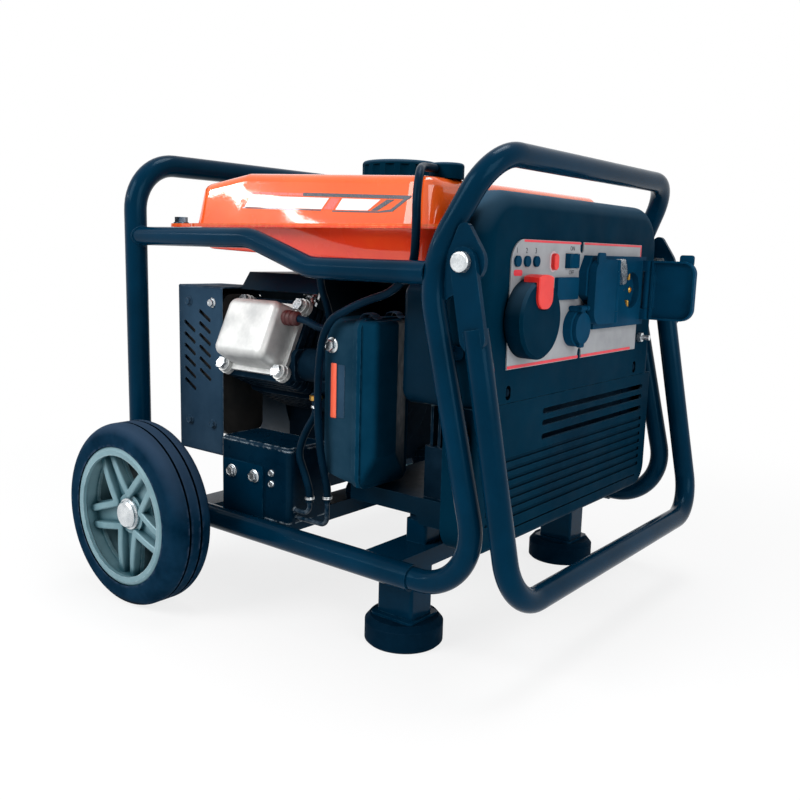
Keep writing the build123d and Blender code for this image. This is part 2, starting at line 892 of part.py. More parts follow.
# Vent valve on the tank with its hose down to the canister
valve_seat = tank_top(valve_x + valve_radius)
spigot_z = tank_top(valve_x - valve_radius) + valve_height / 2 + 1
with BuildPart() as vent_valve:
    disc(Plane(origin=(valve_x, valve_y, valve_seat)), valve_radius, valve_height + 2)
    with BuildSketch(Plane.XZ) as above_tank:
        with BuildLine():
            Polyline(
                (crown_high_x, crown_high_z),
                (tank_front, crown_front_z),
                (tank_front, crown_front_z + 60),
                (crown_high_x, crown_high_z + 60),
                close=True,
            )
        make_face()
    extrude(above_tank.sketch, amount=tank_half, both=True, mode=Mode.INTERSECT)
    fillet(vent_valve.edges().sort_by(Axis.Z)[-1], 3)
    disc(along_y(valve_x, valve_y, spigot_z, -1), hose_tube / 2 - hose_wall, valve_radius + 9)
save(vent_valve, "vent_valve")

hose_start = valve_y - valve_radius - 2
vent_points = [
    (valve_x, hose_start, spigot_z),
    (valve_x, hose_start - 20, spigot_z),
    (valve_x + 14, -189, spigot_z - 6),
    (valve_x + 20, -200.5, spigot_z - 28),
    (valve_x + 21, -201, spigot_z - 60),
    (valve_x + 14, -194, spigot_z - 92),
    (valve_x - 12, -191, spigot_z - 116),
    (valve_x - 52, -191, spigot_z - 128),
    (valve_x - 88, -194, spigot_z - 146),
    (airbox_rear + 4, -196, 300),
    (airbox_rear - 1, -196, 258),
    (airbox_rear, -196, 212),
    (airbox_rear + 4, -195, 178),
    (vent_spigot_x, vent_spigot_y, 145),
    (vent_spigot_x, vent_spigot_y, 130),
]
with BuildPart() as vent_hose:
    round_bar(bent_wire(vent_points, soft_radii(vent_points)), hose_tube, hose_wall)
save(vent_hose, "vent_hose")


# Control box: a moulded housing above a louvred panel
def housing_form(inset):
    """The upper moulding as a solid, drawn in by an inset on every wall but the rear."""
    low = split_z + split_gap / 2 + inset
    with BuildPart() as form:
        with BuildSketch(along_x(box_rear - inset, 0, 0)) as outline:
            with Locations((0, (low + box_top - inset) / 2)):
                Rectangle(2 * (box_half - inset), box_top - inset - low)
            fillet(outline.vertices().sort_by(Axis.Y)[-2:], box_corner - inset)
        extrude(amount=panel_x - box_rear)
        front = form.faces().sort_by(Axis.X)[-1]
        fillet([e for e in front.edges() if e.center().Z > low + 1], box_edge - inset)
    return form.part


def louver_form(inset):
    """The lower panel as a solid, drawn in by an inset on every wall but the rear."""
    high = split_z - split_gap / 2 - inset
    low = louver_bottom + inset
    with BuildPart() as form:
        with BuildSketch(along_x(box_rear - inset, 0, 0)) as outline:
            with Locations((0, (low + high) / 2)):
                Rectangle(2 * (louver_half - inset), high - low)
            fillet(outline.vertices().sort_by(Axis.Y)[:2], louver_corner - inset)
        extrude(amount=panel_x - box_rear)
        front = form.faces().sort_by(Axis.X)[-1]
        fillet([e for e in front.edges() if e.center().Z < high - 1], louver_edge - inset)
    return form.part


rocker_half = 13.2
rocker_y = -32.5
rocker_z = 384.0
rocker_height = 14.0
rocker_tilt = 7.0
button_y = -71.0
button_z = 383.0
panel_hole_depth = box_wall + inlay_thick + 2


def control_holes(start):
    """Openings for the dial shaft, the button and the rocker, through one skin."""
    with BuildSketch(along_x(start, 0, 0)) as holes:
        with Locations((dial_y, dial_z)):
            Circle(dial_shaft + running_gap)
        with Locations((button_y, button_z)):
            SlotOverall(button_height + 2 * button_gap, button_width + 2 * button_gap, rotation=90)
        with Locations((rocker_y, rocker_z)):
            Rectangle(2 * rocker_half + 1.8, rocker_height + 2 * button_gap)
    extrude(holes.sketch, amount=panel_hole_depth, mode=Mode.SUBTRACT)


screw_y = box_half - screw_inset
screw_points = [(-screw_y, split_z + 10), (screw_y, split_z + 10)]
with BuildPart() as control_housing:
    add(housing_form(0))
    add(housing_form(box_wall), mode=Mode.SUBTRACT)
    control_holes(panel_x - box_wall - 1)
    with BuildSketch(along_x(panel_x - box_wall - 4, 0, 0)) as pockets:
        with Locations(*screw_points):
            SlotOverall(17, 12, rotation=90)
    extrude(amount=4 + box_wall)
    with BuildSketch(along_x(panel_x - box_wall - 2, 0, 0)) as sunk:
        with Locations(*screw_points):
            SlotOverall(14, 9, rotation=90)
    extrude(amount=4 + box_wall, mode=Mode.SUBTRACT)
    disc(along_x(panel_x - box_wall - 1, stud_y, stud_z), stud_radius, box_wall + 2, Mode.SUBTRACT)
save(control_housing, "control_housing")

with BuildPart() as louver_panel:
    add(louver_form(0))
    add(louver_form(box_wall), mode=Mode.SUBTRACT)
    slot_rows = [split_z - 16, split_z - 28, split_z - 42]
    with BuildSketch(along_x(panel_x - box_wall - 1, 0, 0)):
        with Locations(*[((slot_left + slot_right) / 2, z) for z in slot_rows]):
            SlotOverall(slot_right - slot_left, slot_height)
    extrude(amount=box_wall + 2, mode=Mode.SUBTRACT)
    groove_rows = [split_z - 55 - i * groove_pitch for i in range(groove_count)]
    with BuildSketch(along_x(panel_x - groove_depth, 0, 0)):
        with Locations(*[(0, z) for z in groove_rows]):
            Rectangle(2 * louver_half - 44, groove_height)
        with Locations((0, louver_bottom + 15)):
            Rectangle(2 * louver_half - 60, 1.6)
    extrude(amount=groove_depth, mode=Mode.SUBTRACT)
save(louver_panel, "louver_panel")

# Tray for the inverter, a pressed channel on rubber mounts above the front beam
with BuildPart() as inverter_tray:
    tray_front = panel_x - box_wall
    with BuildSketch(Plane(origin=((tray_rear + tray_front) / 2, 0, tray_z))):
        Rectangle(tray_front - tray_rear, 2 * tray_half)
    extrude(amount=tray_thick)
    with BuildSketch(Plane(origin=(tray_rear + tray_thick / 2, 0, tray_z))):
        Rectangle(tray_thick, 2 * tray_half)
    extrude(amount=-tray_skirt)
    for side in (-1, 1):
        with BuildSketch(along_y(0, side * (tray_half - tray_thick), 0, side)) as skirt:
            with BuildLine():
                Polyline(
                    (tray_rear, -side * tray_z),
                    (tray_rear, -side * (tray_z - tray_skirt)),
                    (foot_x + 4, -side * (tray_z - tray_skirt)),
                    (foot_x + 8, -side * (tray_z - tray_skirt - 9)),
                    (foot_x + 38, -side * (tray_z - tray_skirt - 9)),
                    (foot_x + 42, -side * (tray_z - tray_skirt)),
                    (tray_front, -side * (tray_z - tray_skirt)),
                    (tray_front, -side * tray_z),
                    close=True,
                )
            make_face()
        extrude(skirt.sketch, amount=tray_thick)
save(inverter_tray, "inverter_tray")

inverter_x = 156.0
inverter_length = 78.0
inverter_body = 52.0
inverter_fins = 40.0
with BuildPart() as inverter:
    with BuildSketch(Plane(origin=(inverter_x, 0, tray_z + tray_thick))):
        RectangleRounded(inverter_length, 2 * tray_half - 14, 4)
    extrude(amount=inverter_body)
    with BuildSketch(Plane(origin=(inverter_x, 0, tray_z + tray_thick + inverter_body))):
        with GridLocations(9, 0, 8, 1):
            Rectangle(3, 2 * tray_half - 20)
    extrude(amount=inverter_fins)
save(inverter, "inverter")

# Printed inlay on the control panel
with BuildPart() as panel_inlay:
    with BuildSketch(along_x(panel_x, 0, 0)) as inlay:
        with Locations(((inlay_left + inlay_right) / 2, (inlay_bottom + inlay_top) / 2)):
            Rectangle(inlay_right - inlay_left, inlay_top - inlay_bottom)
        fillet(inlay.vertices().sort_by(Axis.Y)[-2:].sort_by(Axis.X)[0], inlay_big_corner)
        with Locations((-12, inlay_top), (-5, inlay_bottom)):
            SlotOverall(22, 8, rotation=90, mode=Mode.SUBTRACT)
    extrude(amount=inlay_thick)
    control_holes(panel_x - 1)
save(panel_inlay, "panel_inlay")

# Mode dial with its shaft and red pointer
dial_base = inlay_face + button_gap
dial_face = dial_base + dial_thick
with BuildPart() as mode_dial:
    disc(along_x(dial_base, dial_y, dial_z), dial_radius, dial_thick)
    chamfer(mode_dial.edges().sort_by(Axis.X)[-1], 2.5)
    disc(along_x(panel_x - 14, dial_y, dial_z), dial_shaft, dial_base - panel_x + 14)
save(mode_dial, "mode_dial")

with BuildPart() as dial_pointer:
    with BuildSketch(along_x(dial_face, dial_y, dial_z)) as tongue:
        Circle(pointer_radius)
        with Locations((0, pointer_radius - tongue_length / 2)):
            Rectangle(tongue_width, tongue_length, mode=Mode.INTERSECT)
        fillet(tongue.vertices().sort_by(Axis.Y)[:2], 11)
    extrude(amount=tongue_thick)
    with BuildSketch(along_x(dial_face - pointer_lip, dial_y, dial_z)):
        Circle(pointer_radius)
        Circle(dial_radius, mode=Mode.SUBTRACT)
        with Locations((0, pointer_radius)):
            Rectangle(tongue_width, dial_radius, mode=Mode.INTERSECT)
    extrude(amount=pointer_lip + tongue_thick)
    fillet(dial_pointer.faces().sort_by(Axis.X)[-1].edges(), 1.2)
save(dial_pointer, "dial_pointer")

# Lamps, push button and rocker switch
with BuildPart() as lamps:
    for y in (-139, -122, -105):
        disc(along_x(inlay_face, y, button_z), lamp_radius, 2.5)
save(lamps, "lamps")

with BuildPart() as push_button:
    with BuildSketch(along_x(panel_x - box_wall - 5, button_y, button_z)):
        SlotOverall(button_height, button_width, rotation=90)
    extrude(amount=inlay_face - panel_x + box_wall + 5 + 4.5)
    fillet(push_button.faces().sort_by(Axis.X)[-1].edges(), 1)
save(push_button, "push_button")

rocker_pivot_x = panel_x - 1.0
with BuildPart() as rocker:
    rocker_plane = Plane(origin=(rocker_pivot_x, rocker_y, rocker_z - rocker_height / 2), x_dir=(1, 0, 0))
    with BuildSketch(rocker_plane.rotated((0, 0, rocker_tilt))):
        with BuildLine():
            Polyline(
                (-6, -rocker_half + 4),
                (0, -rocker_half),
                (5.5, -rocker_half),
                (3.5, 0),
                (5.5, rocker_half),
                (0, rocker_half),
                (-6, rocker_half - 4),
                close=True,
            )
        make_face()
    extrude(amount=rocker_height)
save(rocker, "rocker")

# Breaker block and the round outlet with its hinged cap
with BuildPart() as breaker:
    with BuildSketch(along_x(inlay_face, 0, 0)):
        with Locations(((breaker_left + breaker_right) / 2, (breaker_bottom + breaker_top) / 2)):
            RectangleRounded(breaker_right - breaker_left, breaker_top - breaker_bottom, 2)
    extrude(amount=breaker_thick)
save(breaker, "breaker")

outlet_face = inlay_face + outlet_depth
cap_axis_x = outlet_face + 3.2
cap_axis_z = outlet_z + outlet_radius + 1.0
with BuildPart() as outlet_body:
    disc(along_x(inlay_face, outlet_y, outlet_z), outlet_radius, outlet_depth)
    for side in (-1, 1):
        with BuildSketch(along_y(0, outlet_y + side * 5, 0, side)) as ear:
            with Locations((cap_axis_x, -side * cap_axis_z), (inlay_face + 3, -side * cap_axis_z)):
                Circle(2.8)
            make_hull()
        extrude(amount=4)
        disc(along_y(cap_axis_x, outlet_y + side * 5, cap_axis_z, side), 1.2 + running_gap, 4, Mode.SUBTRACT)
    disc(along_x(inlay_face + 1.5, outlet_y, outlet_z), outlet_bore, outlet_depth, Mode.SUBTRACT)
save(outlet_body, "outlet_body")

with BuildPart() as outlet_cap:
    disc(along_x(outlet_face + lid_gap, outlet_y, outlet_z), outlet_radius - 3, 4)
    with BuildSketch(along_x(outlet_face + lid_gap, outlet_y, outlet_z)):
        with Locations((0, (outlet_radius + 1) / 2)):
            Rectangle(8, outlet_radius + 1)
        with Locations((0, 3 - outlet_radius)):
            RectangleRounded(10, 7, 2)
    extrude(amount=3.2)
    disc(along_y(cap_axis_x, outlet_y - 4, cap_axis_z, 1), 2.4, 8)
    disc(along_y(cap_axis_x, outlet_y - 8.5, cap_axis_z, 1), 1.2, 17)
save(outlet_cap, "outlet_cap")

# Socket block with two wells and the knuckles of its lids
block_face = inlay_face + socket_thick
hinge_x = block_face + lid_barrel + lid_gap
knuckle_rows = [lid_bottom, lid_top - knuckle_height]
with BuildPart() as socket_block:
    with BuildSketch(along_x(inlay_face, 0, 0)):
        with BuildLine():
            Polyline(
                (5, socket_bottom),
                (5, 338),
                (-16, 350),
                (-16, 374),
                (-6, socket_top),
                (right_hinge_y + lid_barrel, socket_top),
                (right_hinge_y + lid_barrel, socket_bottom),
                close=True,
            )
        make_face()
    extrude(amount=socket_thick)
    for y in (left_hinge_y, right_hinge_y):
        for z in knuckle_rows:
            disc(Plane(origin=(hinge_x, y, z)), lid_barrel, knuckle_height)
            with BuildSketch(Plane(origin=((block_face + hinge_x) / 2, y, z))):
                Rectangle(hinge_x - block_face, 2 * lid_barrel)
            extrude(amount=knuckle_height)
            disc(Plane(origin=(hinge_x, y, z)), lid_pin + running_gap, knuckle_height, Mode.SUBTRACT)
        with BuildSketch(along_x(inlay_face + 2, y - lid_reach / 2 - 3, (lid_bottom + lid_top) / 2)):
            Circle(20)
        extrude(amount=socket_thick, mode=Mode.SUBTRACT)
save(socket_block, "socket_block")


def socket_lid():
    """A shell lid, closed, with its hinge barrel and pin at the origin of the hinge."""
    back = lid_gap - lid_barrel - lid_gap
    middle = (lid_bottom + lid_top) / 2
    with BuildPart() as lid:
        with BuildSketch(along_x(back + lid_gap, 0, 0)) as outline:
            with Locations((-(lid_reach + lid_barrel + 1) / 2, middle)):
                Rectangle(lid_reach - lid_barrel - 1, lid_top - lid_bottom)
            fillet(outline.vertices().sort_by(Axis.X)[:2], 14)
        extrude(amount=lid_thick)
        with BuildSketch(along_x(back + lid_gap, 0, 0)) as hollow:
            with Locations((-(lid_reach + lid_barrel + 1) / 2, middle)):
                Rectangle(lid_reach - lid_barrel - 1 - 2 * lid_wall, lid_top - lid_bottom - 2 * lid_wall)
            fillet(hollow.vertices().sort_by(Axis.X)[:2], 12)
        extrude(amount=lid_thick - lid_wall, mode=Mode.SUBTRACT)
        with BuildSketch(along_x(back + lid_gap + lid_thick - lid_wall, 0, 0)):
            with Locations((-lid_reach + 12, lid_top + 1)):
                RectangleRounded(16, 12, 3)
        extrude(amount=lid_wall)
        barrel_low = lid_bottom + knuckle_height + lid_gap
        barrel_high = lid_top - knuckle_height - lid_gap
        disc(Plane(origin=(0, 0, barrel_low)), lid_barrel, barrel_high - barrel_low)
        disc(Plane(origin=(0, 0, lid_bottom)), lid_pin, lid_top - lid_bottom)
        with BuildSketch(Plane(origin=(0, 0, barrel_low))):
            with Locations((0, -lid_barrel)):
                Rectangle(4, 2 * lid_barrel)
        extrude(amount=barrel_high - barrel_low)
    return lid.part


closed_lid = socket_lid()
with BuildPart() as socket_lid_left:
    with Locations((hinge_x, left_hinge_y, 0)):
        add(closed_lid)
save(socket_lid_left, "socket_lid_left")

with BuildPart() as socket_lid_right:
    with Locations(Location((hinge_x, right_hinge_y, 0), (0, 0, lid_open))):
        add(closed_lid)
save(socket_lid_right, "socket_lid_right")

# Metal retaining clip beside the sockets and the earth stud
with BuildPart() as socket_clip:
    with BuildSketch(along_x(block_face, 0, 0)):
        with BuildLine():
            Polyline((49, 387), (64, 387), (70.5, 376), (70.5, 362), (62, 359), close=True)
        make_face()
    extrude(amount=4.8)
    fillet(socket_clip.edges().filter_by(Axis.X), 3)
save(socket_clip, "socket_clip")

with BuildPart() as earth_stud:
    disc(along_x(panel_x - box_wall - 6, stud_y, stud_z), stud_radius, box_wall + 20)
    with BuildSketch(along_x(panel_x, stud_y, stud_z)):
        RegularPolygon(5.8, 6)
    extrude(amount=5)
save(earth_stud, "earth_stud")


# Engine: the bore leans up towards the left side
def bore_plane(distance):
    """A plane across the bore, at a distance from the crank axis."""
    lean = radians(bore_tilt)
    return Plane(
        origin=(engine_x, crank_y - distance * cos(lean), crank_z + distance * sin(lean)),
        x_dir=(1, 0, 0),
        z_dir=(0, -cos(lean), sin(lean)),
    )


boss_radius = stator_bore
boss_rear = rotor_rear + 12.0
case_base_half = 80.0
foot_half = 95.0
foot_thick = 10.0
deck_end = 80.0
with BuildPart() as crankcase:
    disc(along_x(case_rear, crank_y, crank_z), case_radius, case_front - case_rear)
    with BuildSketch(along_x(case_rear, crank_y, (engine_base + crank_z) / 2)):
        Rectangle(2 * case_base_half, crank_z - engine_base)
    extrude(amount=case_front - case_rear)
    with BuildSketch(Plane(origin=(engine_x, crank_y, engine_base))):
        Rectangle(case_front - case_rear, 2 * foot_half)
        with GridLocations(2 * beam_spread, 2 * mount_spread, 2, 2):
            Circle(mount_radius + 1.5)
    extrude(amount=foot_thick)
    with BuildSketch(bore_plane(deck_end - 40)):
        RectangleRounded(104, 96, 8)
    extrude(amount=40)
    disc(along_x(case_front, crank_y, crank_z), 62, 8)
    disc(along_x(case_front + 8, crank_y, crank_z), 26, 6)
    disc(along_x(boss_rear, crank_y, crank_z), boss_radius, case_rear - boss_rear)
    disc(along_x(boss_rear, crank_y, crank_z), shaft_radius + running_gap, case_front - boss_rear - 8, Mode.SUBTRACT)
save(crankcase, "crankcase")

oil_y = -36.0
oil_z = 150.0
with BuildPart() as oil_cap:
    disc(along_x(case_front + side_gap, oil_y, oil_z), 15, 9)
    with BuildSketch(along_x(case_front + side_gap + 9, oil_y, oil_z)):
        RectangleRounded(24, 6, 2)
    extrude(amount=8)
save(oil_cap, "oil_cap")

# Cylinder with cooling fins, and the head
with BuildPart() as cylinder:
    with BuildSketch(bore_plane(deck_end)):
        Circle(42)
    extrude(amount=barrel_end - deck_end)
    for i in range(fin_count):
        with BuildSketch(bore_plane(deck_end + 6 + i * fin_pitch)):
            RectangleRounded(fin_width, fin_height, 10)
        extrude(amount=fin_thick)
save(cylinder, "cylinder")

with BuildPart() as cylinder_head:
    with BuildSketch(bore_plane(barrel_end)):
        RectangleRounded(head_width, head_height, 8)
    extrude(amount=head_end - barrel_end)
    for i in range(3):
        with BuildSketch(bore_plane(barrel_end + 8 + i * 10)) as groove:
            RectangleRounded(head_width + 2, head_height + 2, 8)
            RectangleRounded(head_width - 16, head_height - 16, 6, mode=Mode.SUBTRACT)
        extrude(amount=5, mode=Mode.SUBTRACT)
    disc(along_x(engine_x + 30, carb_y, carb_z), carb_radius - 1, head_width / 2 - 30)
    disc(along_x(engine_x - head_width / 2, -133, 269), 19, 22)
save(cylinder_head, "cylinder_head")

# Valve cover with four corner bosses and one bolt on the lower edge
cover_bolt_places = [(-45, -39), (45, -39), (-45, 39), (45, 39)]
with BuildPart() as valve_cover:
    with BuildSketch(bore_plane(head_end)):
        RectangleRounded(96, 84, 12)
        with Locations(*cover_bolt_places):
            Circle(9.5)
    extrude(amount=cover_flange)
    with BuildSketch(bore_plane(head_end + cover_flange)):
        RectangleRounded(cover_width, cover_height, cover_corner)
    extrude(amount=cover_depth, taper=6)
    fillet(valve_cover.faces().sort_by(Axis.Y)[0].edges(), 9)
    with BuildSketch(bore_plane(head_end + cover_flange)):
        with Locations(*cover_bolt_places):
            Circle(8.5)
    extrude(amount=5)
    with BuildSketch(bore_plane(head_end + cover_flange)):
        with Locations(*cover_bolt_places):
            Circle(3.3)
    extrude(amount=8, both=True, mode=Mode.SUBTRACT)
save(valve_cover, "valve_cover")

# Hex bolts of the tank and of the valve cover
with BuildPart() as flange_bolts:
    for x, y in tab_points:
        top = Plane(origin=(x, y, flange_z + flange_thick))
        disc(top, 9, 1.6)
        hex_bolt(top.offset(1.6), tank_bolt, 7.5, 6, flange_thick * 2 + tank_rubber + lug_thick + 8)
    for place in cover_bolt_places:
        seat = bore_plane(head_end + cover_flange + 5)
        spot = Plane(origin=seat.from_local_coords(place), x_dir=seat.x_dir, z_dir=seat.z_dir)
        hex_bolt(spot, 3.3, 7, 6, cover_flange + 5)
save(flange_bolts, "flange_bolts")

# Spark plug with its cap, on top of the head
with BuildPart() as spark_plug:
    plug_seat = bore_plane(166)
    plug_plane = Plane(
        origin=plug_seat.from_local_coords((26, head_height / 2)),
        x_dir=(1, 0, 0),
        z_dir=plug_seat.y_dir,
    )
    disc(plug_plane, 9, 8)
    disc(plug_plane, 6, 14)
    disc(plug_plane.offset(12), 9.5, 18)
save(spark_plug, "spark_plug")

# Crankshaft, rotor bell and stator
with BuildPart() as crankshaft:
    disc(along_x(rotor_rear, crank_y, crank_z), shaft_radius, case_front - 9 - rotor_rear)
save(crankshaft, "crankshaft")

with BuildPart() as rotor:
    ring(along_x(rotor_rear, crank_y, crank_z), rotor_radius, shaft_radius, 6)
    ring(along_x(rotor_rear, crank_y, crank_z), rotor_radius, rotor_radius - rotor_wall, muffler_front - rotor_rear)
    ring(along_x(rotor_rear, crank_y, crank_z), 22, shaft_radius, 11)
    with BuildSketch(along_x(rotor_rear - fan_depth, crank_y, crank_z)):
        with PolarLocations(55, 10):
            Rectangle(36, 3, rotation=25)
    extrude(amount=fan_depth)
save(rotor, "rotor")

with BuildPart() as stator:
    ring(along_x(boss_rear + 2, crank_y, crank_z), rotor_radius - rotor_wall - air_gap, stator_bore, 24)
    with BuildSketch(along_x(boss_rear + 2, crank_y, crank_z)):
        with PolarLocations(56, 12):
            Rectangle(28, 5)
    extrude(amount=24, mode=Mode.SUBTRACT)
save(stator, "stator")

# Fan shroud: a back plate behind the crankcase and a roof over the cylinder
roof_thick = 1.6
roof_front = -42.0
roof_z = 359.0
roof_side = 104.0
roof_shoulder = 334.0
with BuildPart() as shroud:
    with BuildSketch(along_x(case_rear - 2, 0, 0)) as back_plate:
        with BuildLine():
            Polyline(
                (-112, 342),
                (-102, roof_z),
                (60, roof_z),
                (roof_side, roof_shoulder),
                (roof_side, crank_z),
                (-60, crank_z),
                close=True,
            )
        make_face()
        with Locations((crank_y, crank_z)):
            Circle(drum_radius)
            Circle(boss_radius + 1, mode=Mode.SUBTRACT)
    extrude(amount=2)
    with BuildSketch(along_x(case_rear - 2, 0, 0)) as roof:
        with BuildLine():
            Polyline((-137.5, 340), (-124, roof_z), (60, roof_z), (roof_side, roof_shoulder), (roof_side, 290))
            offset(amount=roof_thick, side=Side.LEFT)
        make_face()
    extrude(amount=roof_front - case_rear + 2)
save(shroud, "shroud")

# Recoil starter: a drum with vents, and its pull grip
with BuildPart() as recoil_housing:
    drum_length = case_rear - 2 - drum_rear
    disc(along_x(drum_rear, crank_y, crank_z), drum_radius, drum_length)
    chamfer(recoil_housing.edges().sort_by(Axis.X)[0], 6)
    disc(along_x(drum_rear + drum_wall, crank_y, crank_z), drum_radius - 6, drum_length, Mode.SUBTRACT)
    with BuildSketch(along_x(drum_rear - 1, crank_y, crank_z)):
        with PolarLocations(60, 12):
            SlotOverall(30, 9)
    extrude(amount=drum_wall + 2, mode=Mode.SUBTRACT)
    pull = Vector(0, cos(radians(recoil_angle)), sin(radians(recoil_angle)))
    boss_start = Vector(recoil_x + 20, crank_y, crank_z) + pull * (drum_radius - 2)
    rope_plane = Plane(origin=boss_start, x_dir=(1, 0, 0), z_dir=pull)
    disc(rope_plane, 13, 14)
    disc(rope_plane.offset(-8), 3.5, 24, Mode.SUBTRACT)
save(recoil_housing, "recoil_housing")

with BuildPart() as recoil_grip:
    with BuildSketch(rope_plane.offset(14 + side_gap)):
        SlotOverall(86, 20)
    extrude(amount=20)
    fillet(recoil_grip.edges().filter_by(GeomType.LINE, reverse=True), 4)
    disc(rope_plane.offset(2), 2.5, 13)
save(recoil_grip, "recoil_grip")

# Muffler box with its inlet and outlet, and the guard in front of it
outlet_pipe_y = -128.0
outlet_pipe_z = 200.0
outlet_pipe = 12.0
with BuildPart() as muffler:
    with BuildSketch(along_x(muffler_rear, 0, 0)):
        with Locations(((muffler_left + muffler_right) / 2, (muffler_bottom + muffler_top) / 2)):
            RectangleRounded(muffler_right - muffler_left, muffler_top - muffler_bottom, 12)
    extrude(amount=muffler_front - muffler_rear)
    disc(along_x(muffler_front, -133, 269), 16, engine_x - head_width / 2 - muffler_front)
    disc(along_x(muffler_rear, outlet_pipe_y, outlet_pipe_z), outlet_pipe, -20)
    disc(along_x(muffler_rear + 4, outlet_pipe_y, outlet_pipe_z), outlet_pipe - 2, -30, Mode.SUBTRACT)
save(muffler, "muffler")

guard_rear = muffler_rear - guard_back
guard_front = muffler_front + 6
guard_face = muffler_left - guard_gap
guard_low = muffler_bottom - guard_drop
guard_high = muffler_top + 9
with BuildPart() as muffler_guard:
    guard_size = (guard_front - guard_rear, muffler_right - guard_face, guard_high - guard_low)
    guard_middle = ((guard_front + guard_rear) / 2, (muffler_right + guard_face) / 2, (guard_high + guard_low) / 2)
    with Locations(guard_middle):
        Box(*guard_size)
    fillet(muffler_guard.faces().sort_by(Axis.Y)[0].edges(), 5)
    with Locations((guard_middle[0] + guard_wall, guard_middle[1] + guard_wall, guard_middle[2] - guard_wall)):
        Box(*guard_size, mode=Mode.SUBTRACT)
    with BuildSketch(along_y(0, guard_face - 1, 0, -1)) as vents:
        for row in range(6):
            with Locations((-198, 308 - row * 14), (-226, 294 - row * 14)):
                SlotOverall(24, 5, rotation=-30)
    extrude(vents.sketch, amount=-guard_wall - 2, mode=Mode.SUBTRACT)
    for x in (muffler_rear + 12, muffler_front - 12):
        for z in (muffler_bottom + 14, muffler_top - 10):
            disc(along_y(x, guard_face + 0.5, z, 1), 5, guard_gap - 0.5)
    disc(along_x(guard_rear - 1, outlet_pipe_y, outlet_pipe_z), outlet_pipe + 4, guard_wall + 2, Mode.SUBTRACT)
save(muffler_guard, "muffler_guard")

# Carburettor and air box
with BuildPart() as carburettor:
    disc(along_x(engine_x + head_width / 2, carb_y, carb_z), carb_radius, airbox_rear - engine_x - head_width / 2)
    with BuildSketch(along_x(engine_x + head_width / 2, carb_y, carb_z)):
        RectangleRounded(44, 36, 8)
    extrude(amount=6)
    with BuildSketch(along_x(airbox_rear - 6, carb_y, carb_z)):
        RectangleRounded(44, 36, 8)
    extrude(amount=6)
    disc(Plane(origin=(bowl_x, carb_y, carb_z - 44)), 20, 32)
    chamfer(carburettor.edges().group_by(Axis.Z)[0], 4)
    disc(along_y(fitting_x, carb_y - 12, fitting_z, -1), 4, carb_y - 8 - fitting_y)
    disc(Plane(origin=(fitting_x, fitting_y, fitting_z)), hose_tube / 2 - hose_wall, -11)
    disc(Plane(origin=(bowl_x - 4, carb_y, carb_z)), hose_tube / 2 - hose_wall, 26)
save(carburettor, "carburettor")


def airbox_outline(x, inset):
    """Front view of the air box, drawn in by an inset."""
    with BuildSketch(along_x(x, 0, 0)) as outline:
        with Locations(((airbox_left + airbox_right) / 2, (airbox_bottom + airbox_top) / 2)):
            RectangleRounded(
                airbox_right - airbox_left - 2 * inset,
                airbox_top - airbox_bottom - 2 * inset,
                10 - inset,
            )
    return outline.sketch


def base_form(inset):
    """The rear half of the air box as a solid, its floor rising towards the rear."""
    with BuildPart() as form:
        extrude(airbox_outline(airbox_rear + inset, inset), amount=airbox_split - airbox_rear - inset)
        with BuildSketch(Plane.XZ.offset(-airbox_right)) as side_view:
            with BuildLine():
                Polyline(
                    (airbox_rear, airbox_heel + inset),
                    (airbox_split, airbox_bottom + inset),
                    (airbox_split, airbox_top),
                    (airbox_rear, airbox_top),
                    close=True,
                )
            make_face()
        extrude(side_view.sketch, amount=airbox_right - airbox_left, mode=Mode.INTERSECT)
    return form.part


def cover_form(inset):
    """The cover of the air box as a solid, with a slanted chin and a slanted inner side."""
    step = airbox_split + 4 - inset
    face = airbox_front - inset
    with BuildPart() as form:
        with BuildSketch(Plane.XZ.offset(inset - airbox_right)) as side_view:
            with BuildLine():
                Polyline(
                    (airbox_split, airbox_bottom + inset),
                    (step, airbox_bottom + inset),
                    (face, airbox_bottom + airbox_chin + inset),
                    (face, airbox_top - inset),
                    (airbox_split, airbox_top - inset),
                    close=True,
                )
            make_face()
        extrude(side_view.sketch, amount=airbox_right - airbox_left - 2 * inset)
        with BuildSketch(Plane.XY.offset(airbox_bottom)) as plan:
            with BuildLine():
                Polyline(
                    (airbox_split, airbox_right - inset),
                    (step, airbox_right - inset),
                    (face, airbox_shoulder - inset),
                    (face, airbox_left + inset),
                    (airbox_split, airbox_left + inset),
                    close=True,
                )
            make_face()
        extrude(plan.sketch, amount=airbox_top - airbox_bottom, mode=Mode.INTERSECT)
        fillet([e for e in form.edges() if e.center().X > airbox_split + 8], 5 - inset)
    return form.part


air_space = base_form(airbox_wall)
with BuildPart() as airbox_base:
    add(base_form(0))
    extrude(airbox_outline(airbox_split - 5, -2), amount=5)
    add(air_space, mode=Mode.SUBTRACT)
    disc(along_x(airbox_rear - 1, carb_y, carb_z), carb_radius - 4, airbox_wall + 2, Mode.SUBTRACT)
save(airbox_base, "airbox_base")

with BuildPart() as airbox_cover:
    add(cover_form(0))
    extrude(airbox_outline(airbox_split, -2), amount=5)
    add(cover_form(airbox_wall), mode=Mode.SUBTRACT)
save(airbox_cover, "airbox_cover")

element_rear = airbox_rear + 22.0
with BuildPart() as air_element:
    add(air_space)
    with BuildSketch(along_x(element_rear, carb_y, carb_z)) as block:
        Rectangle(300, 300)
    extrude(block.sketch, amount=airbox_split - element_rear, mode=Mode.INTERSECT)
save(air_element, "air_element")

